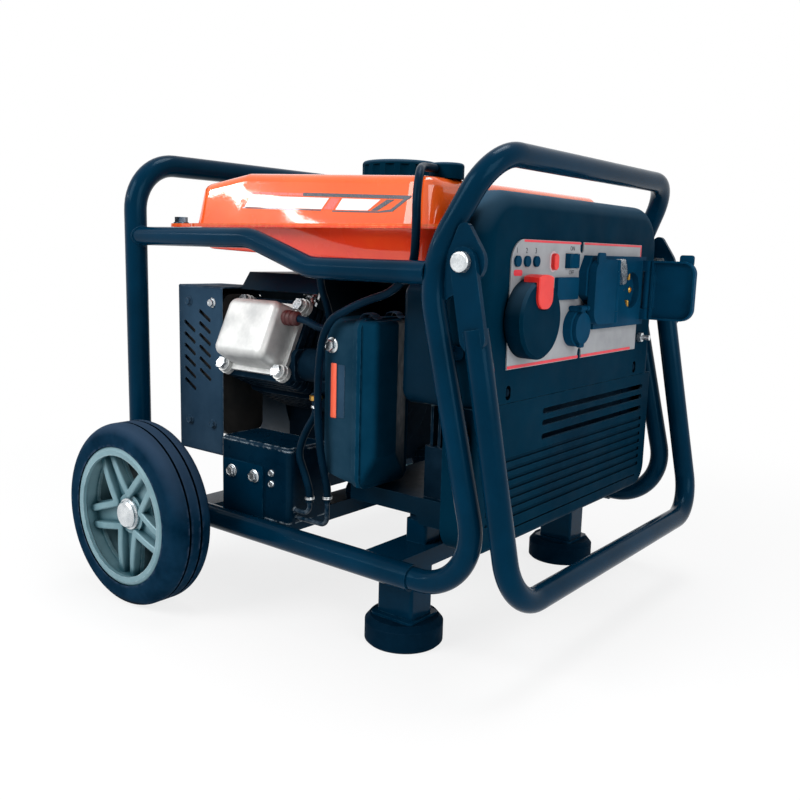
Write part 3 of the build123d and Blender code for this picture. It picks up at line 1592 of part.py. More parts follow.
# Vapour canister on its plate
with BuildPart() as canister:
    with BuildSketch(Plane(origin=((can_rear + can_front) / 2, (can_left + can_right) / 2, can_bottom))):
        RectangleRounded(can_front - can_rear, can_right - can_left, 6)
    extrude(amount=can_top - can_bottom)
    chamfer(canister.faces().sort_by(Axis.Z)[-1].edges(), 3)
    for x, y, low, high in (
        (vent_spigot_x, vent_spigot_y, 104, 135),
        (loop_spigot_x, loop_spigot_y, 113, 131),
    ):
        spigot = bent_wire([(can_front - 2, y, low), (x, y, low), (x, y, high)], [9])
        round_bar(spigot, hose_tube - 2 * hose_wall)
save(canister, "canister")

# Breather, canister and fuel hoses
breather_start = bore_plane(head_end + cover_flange + 16).from_local_coords((cover_width / 2 - 1, 20))
breather_points = [
    tuple(breather_start),
    (breather_start.X + 26, breather_start.Y, breather_start.Z),
    (-12, -164, breather_start.Z - 8),
    (airbox_rear, -164, breather_start.Z - 8),
]
loop_points = [
    (fitting_x, fitting_y, fitting_z - 5),
    (fitting_x, fitting_y, fitting_z - 19),
    (fitting_x - 8, fitting_y - 8, fitting_z - 39),
    (fitting_x - 11, fitting_y - 15, fitting_z - 61),
    (fitting_x, loop_spigot_y, fitting_z - 79),
    (loop_spigot_x, loop_spigot_y, 138),
    (loop_spigot_x, loop_spigot_y, 126),
]
fuel_points = [
    (-25, 34 - tank_half, 379.5),
    (-25, 34 - tank_half, 352),
    (bowl_x - 4, carb_y, carb_z + 56),
    (bowl_x - 4, carb_y, carb_z + carb_radius),
]
for points, name in ((breather_points, "breather_hose"), (loop_points, "canister_hose"), (fuel_points, "fuel_hose")):
    radii = soft_radii(points)
    print(name, "bend radii", [round(r, 1) for r in radii])
    with BuildPart() as hose:
        round_bar(bent_wire(points, radii), hose_tube, hose_wall)
    save(hose, name)
print("vent_hose bend radii", [round(r, 1) for r in soft_radii(vent_points)])
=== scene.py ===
# %% [markdown]
# # Dressing a portable generator
# The solids of this generator come from its CAD source, in metres and already in place.
# They give the shapes that matter; this lesson gives each of them the finish of the real thing,
# and adds the small pieces that are easier to work out as surfaces than to draw as solids:
# screws, clips, stripes, welds and the starter rope.
# The solids are loaded first, because every later piece is measured against them.

# %% Load the solids
import math

import bpy
import numpy as np
from mathutils import Matrix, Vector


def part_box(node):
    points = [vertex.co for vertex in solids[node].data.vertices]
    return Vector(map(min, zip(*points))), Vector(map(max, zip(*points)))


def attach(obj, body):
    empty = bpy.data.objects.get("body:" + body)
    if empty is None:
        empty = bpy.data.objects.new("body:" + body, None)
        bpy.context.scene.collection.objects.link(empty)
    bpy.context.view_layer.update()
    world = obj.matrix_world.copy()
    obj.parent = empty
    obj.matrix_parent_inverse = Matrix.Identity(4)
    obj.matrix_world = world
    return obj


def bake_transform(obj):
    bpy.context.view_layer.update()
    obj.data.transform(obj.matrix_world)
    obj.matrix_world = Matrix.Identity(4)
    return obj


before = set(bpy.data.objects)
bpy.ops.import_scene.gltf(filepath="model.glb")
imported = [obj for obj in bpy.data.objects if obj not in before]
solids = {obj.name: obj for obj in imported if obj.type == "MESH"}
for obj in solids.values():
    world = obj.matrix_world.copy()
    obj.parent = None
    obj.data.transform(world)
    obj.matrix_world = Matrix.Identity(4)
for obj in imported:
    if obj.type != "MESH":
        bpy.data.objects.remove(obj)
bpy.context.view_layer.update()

# %% [markdown]
# ## Camera
# The view looks at the left front corner, a little from above, from about a metre away, so the
# lines of the frame run together clearly. A long lens from further off would flatten them.
# The camera's axes are worked out from three angles: how far it is swung round, how far it looks
# down, and a slight roll.

# %% Camera
yaw, pitch, roll = np.radians([38.17, 9.67, 1.54])
eye_place = [0.62161, -0.83182, 0.38901]
film_width = 36
eye_lens = 39.27
back = np.array([np.sin(yaw) * np.cos(pitch), -np.cos(yaw) * np.cos(pitch), np.sin(pitch)])
level = np.cross(-back, [0, 0, 1])
level /= np.linalg.norm(level)
rise = np.cross(back, level)
camera_x = level * np.cos(roll) + rise * np.sin(roll)
camera_y = rise * np.cos(roll) - level * np.sin(roll)
eye = bpy.data.objects.new("eye", bpy.data.cameras.new("eye"))
bpy.context.scene.collection.objects.link(eye)
stand = np.eye(4)
stand[:3] = np.column_stack([camera_x, camera_y, back, eye_place])
eye.matrix_world = Matrix(stand.tolist())
eye.data.sensor_width = film_width
eye.data.lens = eye_lens
eye.data.clip_start = 0.01
bpy.context.scene.camera = eye
print("camera", np.round(eye_place, 3), "lens", eye.data.lens)

# %% [markdown]
# ## Shader nodes
# A material is a net of nodes, and naming every node and link takes many lines. A few helpers keep
# them short: one adds a node and fills its inputs, and the others are the sums and mixes that come
# back in every material.

# %% Node helpers
scene = bpy.context.scene
scene.view_settings.view_transform = "Standard"


def wire(tree, kind, settings=(), **inputs):
    """Adds a shader node, sets its options, and fills or links its inputs.

    An input goes by its name, or by its number as i0, i1 and so on.
    """
    made = tree.nodes.new(kind)
    for option, value in dict(settings).items():
        setattr(made, option, value)
    for name, value in inputs.items():
        numbered = name[0] == "i" and name[1:].isdigit()
        socket = made.inputs[int(name[1:]) if numbered else name]
        if isinstance(value, bpy.types.NodeSocket):
            tree.links.new(value, socket)
        else:
            socket.default_value = value
    return made


def combine(tree, operation, first, second):
    """One sum on two values, such as their product or the larger of the two."""
    made = wire(tree, "ShaderNodeMath", {"operation": operation}, i0=first, i1=second)
    return made.outputs[0]


def blend_colour(tree, share, first, second):
    """The first colour, turning to the second as the share goes from 0 to 1."""
    made = wire(tree, "ShaderNodeMix", {"data_type": "RGBA"}, i0=share, i6=first, i7=second)
    return made.outputs[2]


def object_place(tree):
    """The place of a point in its object's own coordinates, in metres."""
    return wire(tree, "ShaderNodeTexCoord").outputs["Object"]


def seen_directly(tree):
    """1 for camera, mirror and glass rays, 0 for the rays that carry light."""
    path = wire(tree, "ShaderNodeLightPath").outputs
    plain = combine(tree, "MAXIMUM", path["Is Camera Ray"], path["Is Glossy Ray"])
    return combine(tree, "MAXIMUM", plain, path["Is Transmission Ray"])


print("view transform:", scene.view_settings.view_transform)

# %% [markdown]
# ## Studio
# Black enamel and glossy paint show their shape by what they reflect, so the generator stands in a
# white room: a white floor, a pale world, one broad lamp high on the cylinder's side and a weaker
# one towards the control panel. A small lamp and a low, wide one behind the wheel stand where the
# tank's lacquer mirrors them. The lamps add up to about the brightness at which a colour renders as
# it is written, and the world stays weak, so that the engine bay falls into shade.

# %% World and lamps
room = bpy.data.worlds.new("white_room")
room.use_nodes = True
scene.world = room
tree = room.node_tree
lit = tree.nodes["Background"]
lit.inputs["Color"].default_value = (0.95, 0.98, 1.0, 1)
lit.inputs["Strength"].default_value = 0.3
shown = wire(tree, "ShaderNodeBackground", Color=(1, 1, 1, 1), Strength=1.0)
pick = wire(tree, "ShaderNodeMixShader", i0=seen_directly(tree), i1=lit.outputs[0],
            i2=shown.outputs[0])
tree.links.new(pick.outputs[0], tree.nodes["World Output"].inputs["Surface"])


def lamp(name, place, aim, size, power, tall=None):
    """A square or low soft box at a place, turned to face a point."""
    made = bpy.data.objects.new(name, bpy.data.lights.new(name, "AREA"))
    made.data.shape = "RECTANGLE"
    made.data.size = size
    made.data.size_y = tall or size
    made.data.energy = power
    ahead = np.array(aim, float) - place
    ahead /= np.linalg.norm(ahead)
    side = np.cross(ahead, [0, 0, 1])
    side /= np.linalg.norm(side)
    turn = np.eye(4)
    turn[:3] = np.column_stack([side, np.cross(side, ahead), -ahead, place])
    made.matrix_world = Matrix(turn.tolist())
    scene.collection.objects.link(made)
    return made


tank_flank = (0, -0.15, 0.42)
lamps = [
    lamp("cylinder_side_lamp", (-0.7, -2.0, 1.7), (0, 0, 0.25), size=1.2, power=38),
    lamp("panel_side_lamp", (2.2, -0.6, 1.2), (0, 0, 0.3), size=1.3, power=24),
    lamp("top_lamp", (0.1, 0.3, 2.4), (0, 0, 0.3), size=0.9, power=23),
    lamp("tank_glare_lamp", (-1.83, -1.46, 1.19), tank_flank, size=0.13, power=1.3),
    lamp("tank_streak_lamp", (-1.52, -1.61, 1.125), tank_flank, size=0.8, power=2.0, tall=0.035),
]
print("lamps:", [one.name for one in lamps])

# %% [markdown]
# ## Floor
# The floor glows white for the camera and for reflections, and a share of it stays a plain matt
# floor, so that the soft shadow under the wheels and feet is kept. That share fades to nothing a
# metre away, so no horizon shows behind the generator.

# %% Floor
floor_half = 12
fade_start, fade_end = 0.35, 1.1
glow_share = 0.8
corners = [(x * floor_half, y * floor_half, 0) for x, y in ((-1, -1), (1, -1), (1, 1), (-1, 1))]
ground = bpy.data.meshes.new("floor")
ground.from_pydata(corners, [], [(0, 1, 2, 3)])
floor = bpy.data.objects.new("floor", ground)
scene.collection.objects.link(floor)
paper = bpy.data.materials.new("white_paper")
paper.use_nodes = True
tree = paper.node_tree
matt = tree.nodes["Principled BSDF"]
matt.inputs["Base Color"].default_value = (0.93, 0.93, 0.93, 1)
matt.inputs["Roughness"].default_value = 0.9
glow = wire(tree, "ShaderNodeEmission", Color=(1, 1, 1, 1), Strength=1.0)
away = wire(tree, "ShaderNodeVectorMath", {"operation": "LENGTH"}, i0=object_place(tree))
fade = wire(tree, "ShaderNodeMapRange", {"interpolation_type": "SMOOTHSTEP"},
            i0=away.outputs["Value"], i1=fade_start, i2=fade_end, i3=glow_share, i4=1.0)
glowing = combine(tree, "MULTIPLY", seen_directly(tree), fade.outputs[0])
mixed = wire(tree, "ShaderNodeMixShader", i0=glowing, i1=matt.outputs[0], i2=glow.outputs[0])
tree.links.new(mixed.outputs[0], tree.nodes["Material Output"].inputs["Surface"])
ground.materials.append(paper)
print("floor", floor.dimensions[:])

# %% [markdown]
# ## One recipe for paint, plastic and cast metal
# A real surface is never one colour. Its tone drifts over a hand's width, its gloss changes where
# it has been touched, its skin has a grain, and its edges wear. One recipe holds these four: a slow
# noise drifts the colour between two shades, a middle noise drifts the roughness, a fine noise
# raises the grain as a bump, and a bevel test finds the edges. The bevel test compares the true
# normal with one that is rounded over a small radius: they differ only near an edge.
# The edge colour is wear on most finishes and a painted highlight on the canister.
# Three extras serve single finishes: lighter upper sides, which are dust on the tyres and a painted
# highlight on the moulded plastic; painted shade in grooves; and slow waves.
# Everything reads Object coordinates, so the grain has one scale on every piece.

# %% Patterns


def shade(red, green, blue):
    """A screen colour from 0 to 255 as the linear light that a shader works in."""
    part = np.array([red, green, blue]) / 255
    linear = np.where(part > 0.04045, ((part + 0.055) / 1.055) ** 2.4, part / 12.92)
    return (*linear.tolist(), 1.0)


def ramp(tree, factor, stops):
    """A colour ramp through (place, colour) stops."""
    made = wire(tree, "ShaderNodeValToRGB", i0=factor)
    steps = made.color_ramp.elements
    while len(steps) < len(stops):
        steps.new(0.5)
    for step, (where, colour) in zip(steps, stops):
        step.position = where
        step.color = colour
    return made.outputs[0]


def noise(tree, scale, detail=3.0, rough=0.5):
    """A cloud pattern with this many blobs to the metre."""
    made = wire(tree, "ShaderNodeTexNoise", Vector=object_place(tree), Scale=scale,
                Detail=detail, Roughness=rough)
    return made.outputs[0]


def spread(tree, factor, low, high, start=0.3, stop=0.7):
    """A pattern value from start to stop, stretched to low to high."""
    made = wire(tree, "ShaderNodeMapRange", i0=factor, i1=start, i2=stop, i3=low, i4=high)
    return made.outputs[0]


def edges(tree, width):
    """1 on an edge and 0 a width away from it, broken up by a noise."""
    soft = wire(tree, "ShaderNodeBevel", {"samples": 4}, Radius=width)
    plain = wire(tree, "ShaderNodeNewGeometry")
    same = wire(tree, "ShaderNodeVectorMath", {"operation": "DOT_PRODUCT"},
                i0=soft.outputs[0], i1=plain.outputs["Normal"])
    near_edge = spread(tree, same.outputs["Value"], 1.0, 0.0, 0.80, 0.985)
    patchy = spread(tree, noise(tree, 160, 4), 0.0, 1.0, 0.42, 0.62)
    return combine(tree, "MULTIPLY", near_edge, patchy)


def upper(tree, colour, dust_and_sheen):
    """Upper sides fade to the colour: dust on tyres, a painted highlight on moulded plastic."""
    normal = wire(tree, "ShaderNodeNewGeometry").outputs["Normal"]
    height = wire(tree, "ShaderNodeSeparateXYZ", i0=normal).outputs[2]
    return blend_colour(tree, spread(tree, height, 0.0, 1.0, 0.1, 0.75), colour, dust_and_sheen)


def grooves(tree, colour, groove_shade, reach):
    """Painted shade: the colour turns dark where walls within reach shut out the light."""
    shut = wire(tree, "ShaderNodeAmbientOcclusion", {"samples": 8}, Distance=reach)
    share = spread(tree, shut.outputs["AO"], 1.0, 0.0, 0.45, 0.9)
    return blend_colour(tree, share, colour, groove_shade)


print("a mid grey in linear light:", np.round(shade(128, 128, 128), 3))

# %% [markdown]
# ## The recipe as a function
# The patterns are joined to one shader. What a finish doesn't need is left out of its net, and any
# other socket of the shader can be set by its name, with a low line for each space.

# %% The recipe
groove_reach = 0.011
waves_per_metre = 11


def finish(name, dark, light, rough, grain=900, depth=0.05, drift=14,
           wear=None, width=0.0012, dust_and_sheen=None, groove_shade=None, swell=0, **sockets):
    """A material by the recipe.

    The colour drifts between dark and light, and the roughness between two values. Grain is counted
    to the metre, and depth is its height in mm. The edge colour is wear, and on the canister a
    painted highlight. The upper-side colour is dust on the tyres and a painted highlight on the
    moulded plastic. The groove colour is painted shade. Swell is the height in mm of slow waves in
    a pressed skin.
    """
    made = bpy.data.materials.new(name)
    made.use_nodes = True
    tree = made.node_tree
    skin = tree.nodes["Principled BSDF"]
    colour = ramp(tree, noise(tree, drift, 5, 0.6), [(0.30, dark), (0.70, light)])
    # Edges: a lighter colour, as wear on most finishes and as a painted highlight on the canister.
    if wear:
        colour = blend_colour(tree, edges(tree, width), colour, wear)
    # Upper sides: dust on the tyres, a painted highlight on the moulded plastic.
    if dust_and_sheen:
        colour = upper(tree, colour, dust_and_sheen)
    # Grooves: painted shade.
    if groove_shade:
        colour = grooves(tree, colour, groove_shade, groove_reach)
    tree.links.new(colour, skin.inputs["Base Color"])
    tree.links.new(spread(tree, noise(tree, drift * 6, 4), *rough), skin.inputs["Roughness"])
    bump = wire(tree, "ShaderNodeBump", Height=noise(tree, grain, 2), Distance=depth / 1000,
                Strength=0.6)
    if swell:
        waves = wire(tree, "ShaderNodeBump", Height=noise(tree, waves_per_metre, 1),
                     Distance=swell / 1000, Strength=1.0)
        tree.links.new(waves.outputs[0], bump.inputs["Normal"])
        tree.links.new(bump.outputs[0], skin.inputs["Coat Normal"])
    tree.links.new(bump.outputs[0], skin.inputs["Normal"])
    for socket, value in sockets.items():
        skin.inputs[socket.replace("_", " ")].default_value = value
    return made


blue_mirror = (0.30, 0.70, 1.0, 1.0)
blue_black = {"Specular_IOR_Level": 0.012, "Specular_Tint": blue_mirror}
gloss_black = {"Specular_IOR_Level": 0.07, "Specular_Tint": blue_mirror}
enamel = finish("frame_enamel", shade(0, 31, 50), shade(1, 43, 67), (0.14, 0.24), grain=420,
                depth=0.03, drift=9, wear=shade(34, 70, 92), **gloss_black)
print("recipe ready, first finish:", enamel.name)

# %% [markdown]
# ## Finishes of this generator
# Most pieces are nearly black with a blue cast, and yet no two look the same: stove enamel on the
# tubes is smooth and glossy, the moulded box has a fine leather grain, rubber is matt and a little
# dusty, and pressed sheet is greyer. The recipe makes each of them from its own numbers. What they
# share is a weak, blue-tinted mirror: in a white room a full one would lift every black to grey.

# %% Dark finishes
# Painted highlight and shade: upper sides lighten, and louvre grooves darken.
moulded = finish("moulded_plastic", shade(0, 32, 50), shade(2, 44, 64), (0.42, 0.58), grain=1500,
                 drift=8, wear=shade(24, 66, 88), dust_and_sheen=shade(50, 76, 95), groove_shade=shade(0, 9, 18),
                 **blue_black)
box_plastic = finish("air_box_plastic", shade(8, 42, 60), shade(34, 62, 80), (0.40, 0.56),
                     grain=1300, drift=16, wear=shade(52, 80, 98), **blue_black)
# Painted light: the cover's plastic is a lighter copy of the air box's, offsetting the tank's
# shade.
cover_plastic_painted_light = finish("air_cover_plastic_painted_light", shade(2, 42, 63), shade(10, 55, 78), (0.40, 0.56),
                       grain=1300, drift=16, wear=shade(40, 82, 106), **blue_black)
lid_plastic = finish("lid_plastic", shade(4, 50, 76), shade(12, 66, 96), (0.34, 0.50), grain=1400,
                     depth=0.03, drift=12, wear=shade(30, 72, 96), width=0.0008, **blue_black)
sheet = finish("pressed_sheet", shade(33, 56, 76), shade(53, 77, 98), (0.46, 0.64), grain=700,
               drift=12, wear=shade(88, 104, 118), **blue_black)
cowl = finish("cowl_sheet", shade(0, 20, 34), shade(3, 32, 50), (0.30, 0.44), grain=500,
              drift=10, wear=shade(30, 60, 78), **gloss_black)
# Painted shade: the tread's grooves darken. The lighter upper sides are dust.
tread = finish("tyre_rubber", shade(1, 27, 45), shade(16, 46, 68), (0.58, 0.76), grain=800,
               depth=0.12, drift=34, wear=shade(58, 72, 92), width=0.006, dust_and_sheen=shade(44, 62, 82),
               groove_shade=shade(0, 8, 16), **blue_black)
rubber = finish("soft_rubber", shade(1, 20, 35), shade(6, 33, 51), (0.52, 0.7), grain=1200,
                drift=20, wear=shade(30, 52, 70), **blue_black)
hose_skin = finish("hose_rubber", shade(0, 16, 30), shade(4, 32, 50), (0.26, 0.40), grain=1600,
                   depth=0.03, drift=30, **gloss_black)
dark_casting = finish("dark_casting", shade(1, 14, 26), shade(14, 34, 49), (0.46, 0.64), grain=480,
                      depth=0.14, drift=22, wear=shade(70, 86, 100), **blue_black)
# Painted highlight: the canister's pale edge colour draws a bright line along its edges.
can_plastic = finish("canister_plastic", shade(0, 22, 38), shade(4, 36, 56), (0.24, 0.38),
                     depth=0.04, wear=shade(206, 222, 232), width=0.0032, **gloss_black)
scorched = finish("scorched_steel", shade(24, 28, 32), shade(60, 58, 56), (0.5, 0.7), grain=600,
                  depth=0.08, drift=18, wear=shade(96, 94, 90), Metallic=0.5)
print("dark finishes end with", scorched.name)

# %% [markdown]
# ## Bright finishes
# The bright ones are the orange tank under clear lacquer, the cast valve cover, zinc bolts and the
# blue-grey rims. The tank's lower half gets a brighter, redder copy of the lacquer: painted light
# on a half that faces down into shade, with red for the painted shade under the flange.

# %% Bright finishes
clear_coat = {"grain": 260, "depth": 0.03, "wear": shade(255, 140, 80), "width": 0.0015,
              "swell": 1.6, "Specular_IOR_Level": 0.1, "Coat_Weight": 1.0, "Coat_Roughness": 0.04}
lacquer = finish("orange_lacquer", shade(243, 84, 14), shade(252, 106, 30), (0.2, 0.3), drift=6,
                 **clear_coat)
# Painted light and shade: brighter to offset the lower half's shade, redder under the flange.
lower_lacquer_painted_light = finish("lower_tank_painted_light_lacquer", shade(240, 40, 28), shade(255, 88, 34), (0.2, 0.3),
                      drift=7, **clear_coat)
casting = finish("bright_casting", shade(178, 180, 180), shade(222, 223, 221), (0.40, 0.56),
                 grain=620, depth=0.12, drift=30, wear=shade(244, 245, 244), Metallic=0.55)
zinc = finish("zinc_plate", shade(186, 192, 196), shade(226, 230, 232), (0.2, 0.38), grain=1500,
              depth=0.02, drift=90, wear=shade(246, 248, 250), width=0.0006, Metallic=0.9)
# Painted shade: the rim darkens in the corners between its ribs and web.
rim_paint = finish("rim_paint", shade(92, 128, 138), shade(122, 156, 165), (0.32, 0.46),
                   grain=1100, depth=0.02, drift=16, wear=shade(178, 200, 206), width=0.0018,
                   groove_shade=shade(36, 82, 94), Metallic=0.15)
signal = finish("signal_red", shade(222, 32, 30), shade(240, 48, 40), (0.3, 0.42), grain=1500,
                depth=0.02, drift=30, wear=shade(250, 110, 96), width=0.0008)
plate_grey = finish("panel_grey", shade(138, 141, 146), shade(162, 164, 168), (0.4, 0.52),
                    grain=2200, depth=0.015, drift=18)
dull_steel = finish("dull_steel", shade(92, 96, 100), shade(140, 142, 142), (0.36, 0.55),
                    grain=700, depth=0.06, drift=34, wear=shade(190, 192, 192), Metallic=0.8)
brass = finish("brass", shade(176, 132, 62), shade(210, 166, 84), (0.25, 0.4), grain=1400,
               depth=0.02, drift=60, Metallic=0.9)
print("bright finishes end with", brass.name)

# %% [markdown]
# ## Patterned finishes
# Three finishes need more than the recipe, so the colour of each is linked anew. The air filter is
# open foam, and its colour follows a cell pattern. The stator and rotor are stacks of thin iron
# sheets, so a wave along the shaft draws the laminations. The flange bolts are bright on the engine
# and blackened on the tank; they are solids of one group, so the height above the floor parts them.

# %% Foam, iron and bolts


def recolour(material, colour):
    """Links another colour to the material's shader."""
    tree = material.node_tree
    tree.links.new(colour, tree.nodes["Principled BSDF"].inputs["Base Color"])


foam = finish("filter_foam", shade(46, 52, 56), shade(74, 80, 82), (0.85, 0.95), grain=500,
              depth=0.3, drift=40)
tree = foam.node_tree
cells = wire(tree, "ShaderNodeTexVoronoi", Vector=object_place(tree), Scale=520.0)
pores = [(0.12, shade(18, 22, 24)), (0.5, shade(84, 90, 92))]
recolour(foam, ramp(tree, cells.outputs["Distance"], pores))

iron = finish("stacked_iron", shade(88, 90, 92), shade(124, 125, 124), (0.4, 0.55), depth=0.04,
              drift=30, Metallic=0.85)
tree = iron.node_tree
sheets = wire(tree, "ShaderNodeTexWave", {"bands_direction": "X"}, Vector=object_place(tree),
              Scale=320.0)
layers = [(0.25, shade(60, 62, 64)), (0.6, shade(132, 132, 130))]
recolour(iron, ramp(tree, sheets.outputs["Fac"], layers))

below_tank, at_tank = 0.38, 0.40
bolt_plate = finish("bolt_plate", shade(186, 192, 196), shade(226, 230, 232), (0.2, 0.38),
                    grain=1500, depth=0.02, drift=90, Metallic=0.9)
tree = bolt_plate.node_tree
height = wire(tree, "ShaderNodeSeparateXYZ", i0=object_place(tree)).outputs[2]
plated = [(0.30, shade(180, 187, 192)), (0.70, shade(226, 230, 232))]
blacked = [(0.35, shade(26, 46, 62)), (0.65, shade(92, 104, 114))]
recolour(bolt_plate, blend_colour(
    tree, spread(tree, height, 0.0, 1.0, below_tank, at_tank),
    ramp(tree, noise(tree, 90, 5, 0.6), plated), ramp(tree, noise(tree, 140, 4, 0.6), blacked)))
print("patterned finishes:", foam.name, iron.name, bolt_plate.name)

# %% [markdown]
# ## Giving the solids their finish
# Each solid keeps its mesh, and only the material in its slots changes. A table from finish to
# solids is easier to read and to mend than sixty separate lines, and the loop reports any solid
# that the table forgot.

# %% Finish table
finish_table = {
    enamel: "rear_frame front_hoop top_rails cross_beams folding_handle",
    rubber: "foot_pads rubber_mounts tank_rubbers recoil_grip",
    hose_skin: "vent_hose breather_hose canister_hose fuel_hose",
    tread: "tyre_left tyre_right",
    rim_paint: "wheel_rim_left wheel_rim_right",
    zinc: "axle_nuts pivot_bolts socket_clip earth_stud spark_plug",
    bolt_plate: "flange_bolts",
    lacquer: "tank_upper",
    lower_lacquer_painted_light: "tank_lower",
    moulded: "control_housing louver_panel mode_dial fuel_cap vent_valve",
    box_plastic: "airbox_base",
    cover_plastic_painted_light: "airbox_cover",
    lid_plastic: "lamps rocker breaker outlet_body outlet_cap socket_block socket_lid_left "
                 "socket_lid_right oil_cap",
    can_plastic: "canister",
    signal: "push_button dial_pointer",
    plate_grey: "panel_inlay",
    cowl: "shroud recoil_housing inverter_tray",
    sheet: "muffler_guard",
    dull_steel: "crankshaft",
    scorched: "muffler",
    casting: "valve_cover",
    dark_casting: "crankcase cylinder cylinder_head inverter carburettor",
    iron: "rotor stator",
    foam: "air_element",
}
bare = set(solids)
for coat, names in finish_table.items():
    for name in names.split():
        slots = solids[name].data.materials
        slots.clear()
        slots.append(coat)
        bare.discard(name)
print("solids without a finish:", sorted(bare))

# %% [markdown]
# ## Surfaces from numpy
# A small part is worked out as a grid of points: rows of rings. A turned part carries a profile
# round an axis, a wire carries a circle along a path, and a moulded plate lifts an outline and
# draws it in. Sizes are in millimetres until the mesh is written.

# %% Grids


def unit(vector):
    """The vector at length one."""
    return np.asarray(vector, float) / np.linalg.norm(vector)


def beside(axis):
    """A direction square to the axis."""
    return unit(np.cross(axis, [0.31, 0.52, 0.79]))


def turned(profile, at, axis, steps=32, flats=0):
    """A lathe form: each (radius, height) pair goes round the axis.

    With flats, a ring follows a polygon: radius / cos(angle from the middle of a side).
    """
    profile = np.asarray(profile, float)
    turn = np.linspace(0, 2 * np.pi, steps, endpoint=False)
    axis = unit(axis)
    side = beside(axis)
    ring = np.cos(turn)[:, None] * side + np.sin(turn)[:, None] * np.cross(axis, side)
    if flats:
        step = 2 * np.pi / flats
        ring = ring / np.cos(turn % step - step / 2)[:, None]
    return np.asarray(at, float) + profile[:, None, :1] * ring + profile[:, None, 1:] * axis


def rod(path, radius, sides=16):
    """A round wire: a ring of the radius square to the path at each of its points.

    The radius may differ from point to point.
    """
    path = np.asarray(path, float)
    run = np.gradient(path, axis=0)
    if np.allclose(path[0], path[-1]):
        run[[0, -1]] = path[1] - path[-2]
    run /= np.linalg.norm(run, axis=1)[:, None]
    across = np.linalg.svd(path - path.mean(0))[2][-1]
    side = np.cross(across, run)
    side /= np.linalg.norm(side, axis=1)[:, None]
    up = np.cross(run, side)
    turn = np.linspace(0, 2 * np.pi, sides, endpoint=False)
    ring = np.cos(turn)[:, None] * side[:, None] + np.sin(turn)[:, None] * up[:, None]
    return path[:, None] + np.broadcast_to(radius, len(path))[:, None, None] * ring


def smooth_line(points, count):
    """A smooth line through points, made of cubics.

    The slope at a point is half the step from the point before it to the point after it.
    """
    points = np.asarray(points, float)
    slope = np.gradient(points, axis=0)
    where = np.linspace(0, len(points) - 1, count)
    low = np.minimum(where.astype(int), len(points) - 2)
    t = (where - low)[:, None]
    start = (2 * t**3 - 3 * t**2 + 1) * points[low] + (t**3 - 2 * t**2 + t) * slope[low]
    return start + (3 * t**2 - 2 * t**3) * points[low + 1] + (t**3 - t**2) * slope[low + 1]


def rounded(width, height, corner, steps=6):
    """A rectangle's outline with round corners: a quarter circle about each corner's centre."""
    turn = np.linspace(0, 0.5 * np.pi, steps)
    quarter = np.stack([np.cos(turn), np.sin(turn)], axis=1) * corner
    spin = np.array([[[1, 0], [0, 1]], [[0, 1], [-1, 0]], [[-1, 0], [0, -1]], [[0, -1], [1, 0]]])
    signs = np.array([[1, 1], [-1, 1], [-1, -1], [1, -1]])
    centres = signs * [width / 2 - corner, height / 2 - corner]
    return (np.einsum("si,cij->csj", quarter, spin) + centres[:, None]).reshape(-1, 2)


def lifted(outline, at, across, along, rows):
    """A plate: an outline in the plane of across and along, in rows of (inset, height).

    Each row is the outline drawn in by its inset and lifted by its height.
    """
    outline = np.asarray(outline, float)
    middle = (outline.min(0) + outline.max(0)) / 2
    half = (outline.max(0) - outline.min(0)) / 2
    across, along = unit(across), unit(along)
    inset, height = np.asarray(rows, float).T
    drawn = middle + (outline - middle) * ((half - inset[:, None]) / half)[:, None]
    flat = np.asarray(at, float) + drawn @ np.stack([across, along])
    return flat + height[:, None, None] * np.cross(across, along)


print("outline of a rounded plate:", rounded(10, 6, 2).shape)

# %% [markdown]
# ## One mesh from many grids
# One function joins such grids into a mesh: it closes every ring, and fills the first and last ring
# of a grid, or joins them where the path comes back to its start. The piece then rides on a body of
# the generator, so that it moves with it.

# %% Pieces


def piece(name, forms, body, coat, crease=40):
    """Joins grids of rings into one smooth mesh that rides on a body.

    Rings are closed. End rings are filled, or joined where the last equals the first.
    """
    points, faces, first = [], [], 0
    for form in forms:
        loop = np.allclose(form[0], form[-1])
        form = form[:-1] if loop else form
        rows, around = form.shape[:2]
        index = first + np.arange(rows * around).reshape(rows, around)
        rings = np.concatenate([index, index[:1]]) if loop else index
        ahead = np.roll(rings, -1, axis=1)
        quads = np.stack([rings[:-1], ahead[:-1], ahead[1:], rings[1:]], axis=-1)
        faces += quads.reshape(-1, 4).tolist()
        faces += [] if loop else [index[0, ::-1].tolist(), index[-1].tolist()]
        points.append(form.reshape(-1, 3))
        first += rows * around
    mesh = bpy.data.meshes.new(name)
    mesh.from_pydata((np.concatenate(points) / 1000).tolist(), [], faces)
    mesh.shade_smooth()
    mesh.set_sharp_from_angle(angle=math.radians(crease))
    mesh.materials.append(coat)
    made = bpy.data.objects.new(name, mesh)
    scene.collection.objects.link(made)
    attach(made, body)
    print(name, "rides on", body, "faces", len(faces))
    return made


# %% [markdown]
# ## Screws
# A flanged hexagon screw is two lathe forms: a thin washer, and a hexagon whose upper corners are
# turned off and whose top is a shallow dish. The hexagon is the same lathe with six flats.
# They sit on the guard, on the canister and its plate, and on the air box.

# %% Hexagon screws
near = (0, -1, 0)
guard_face, plate_face, can_face, box_face = -166, -202, -199, -186


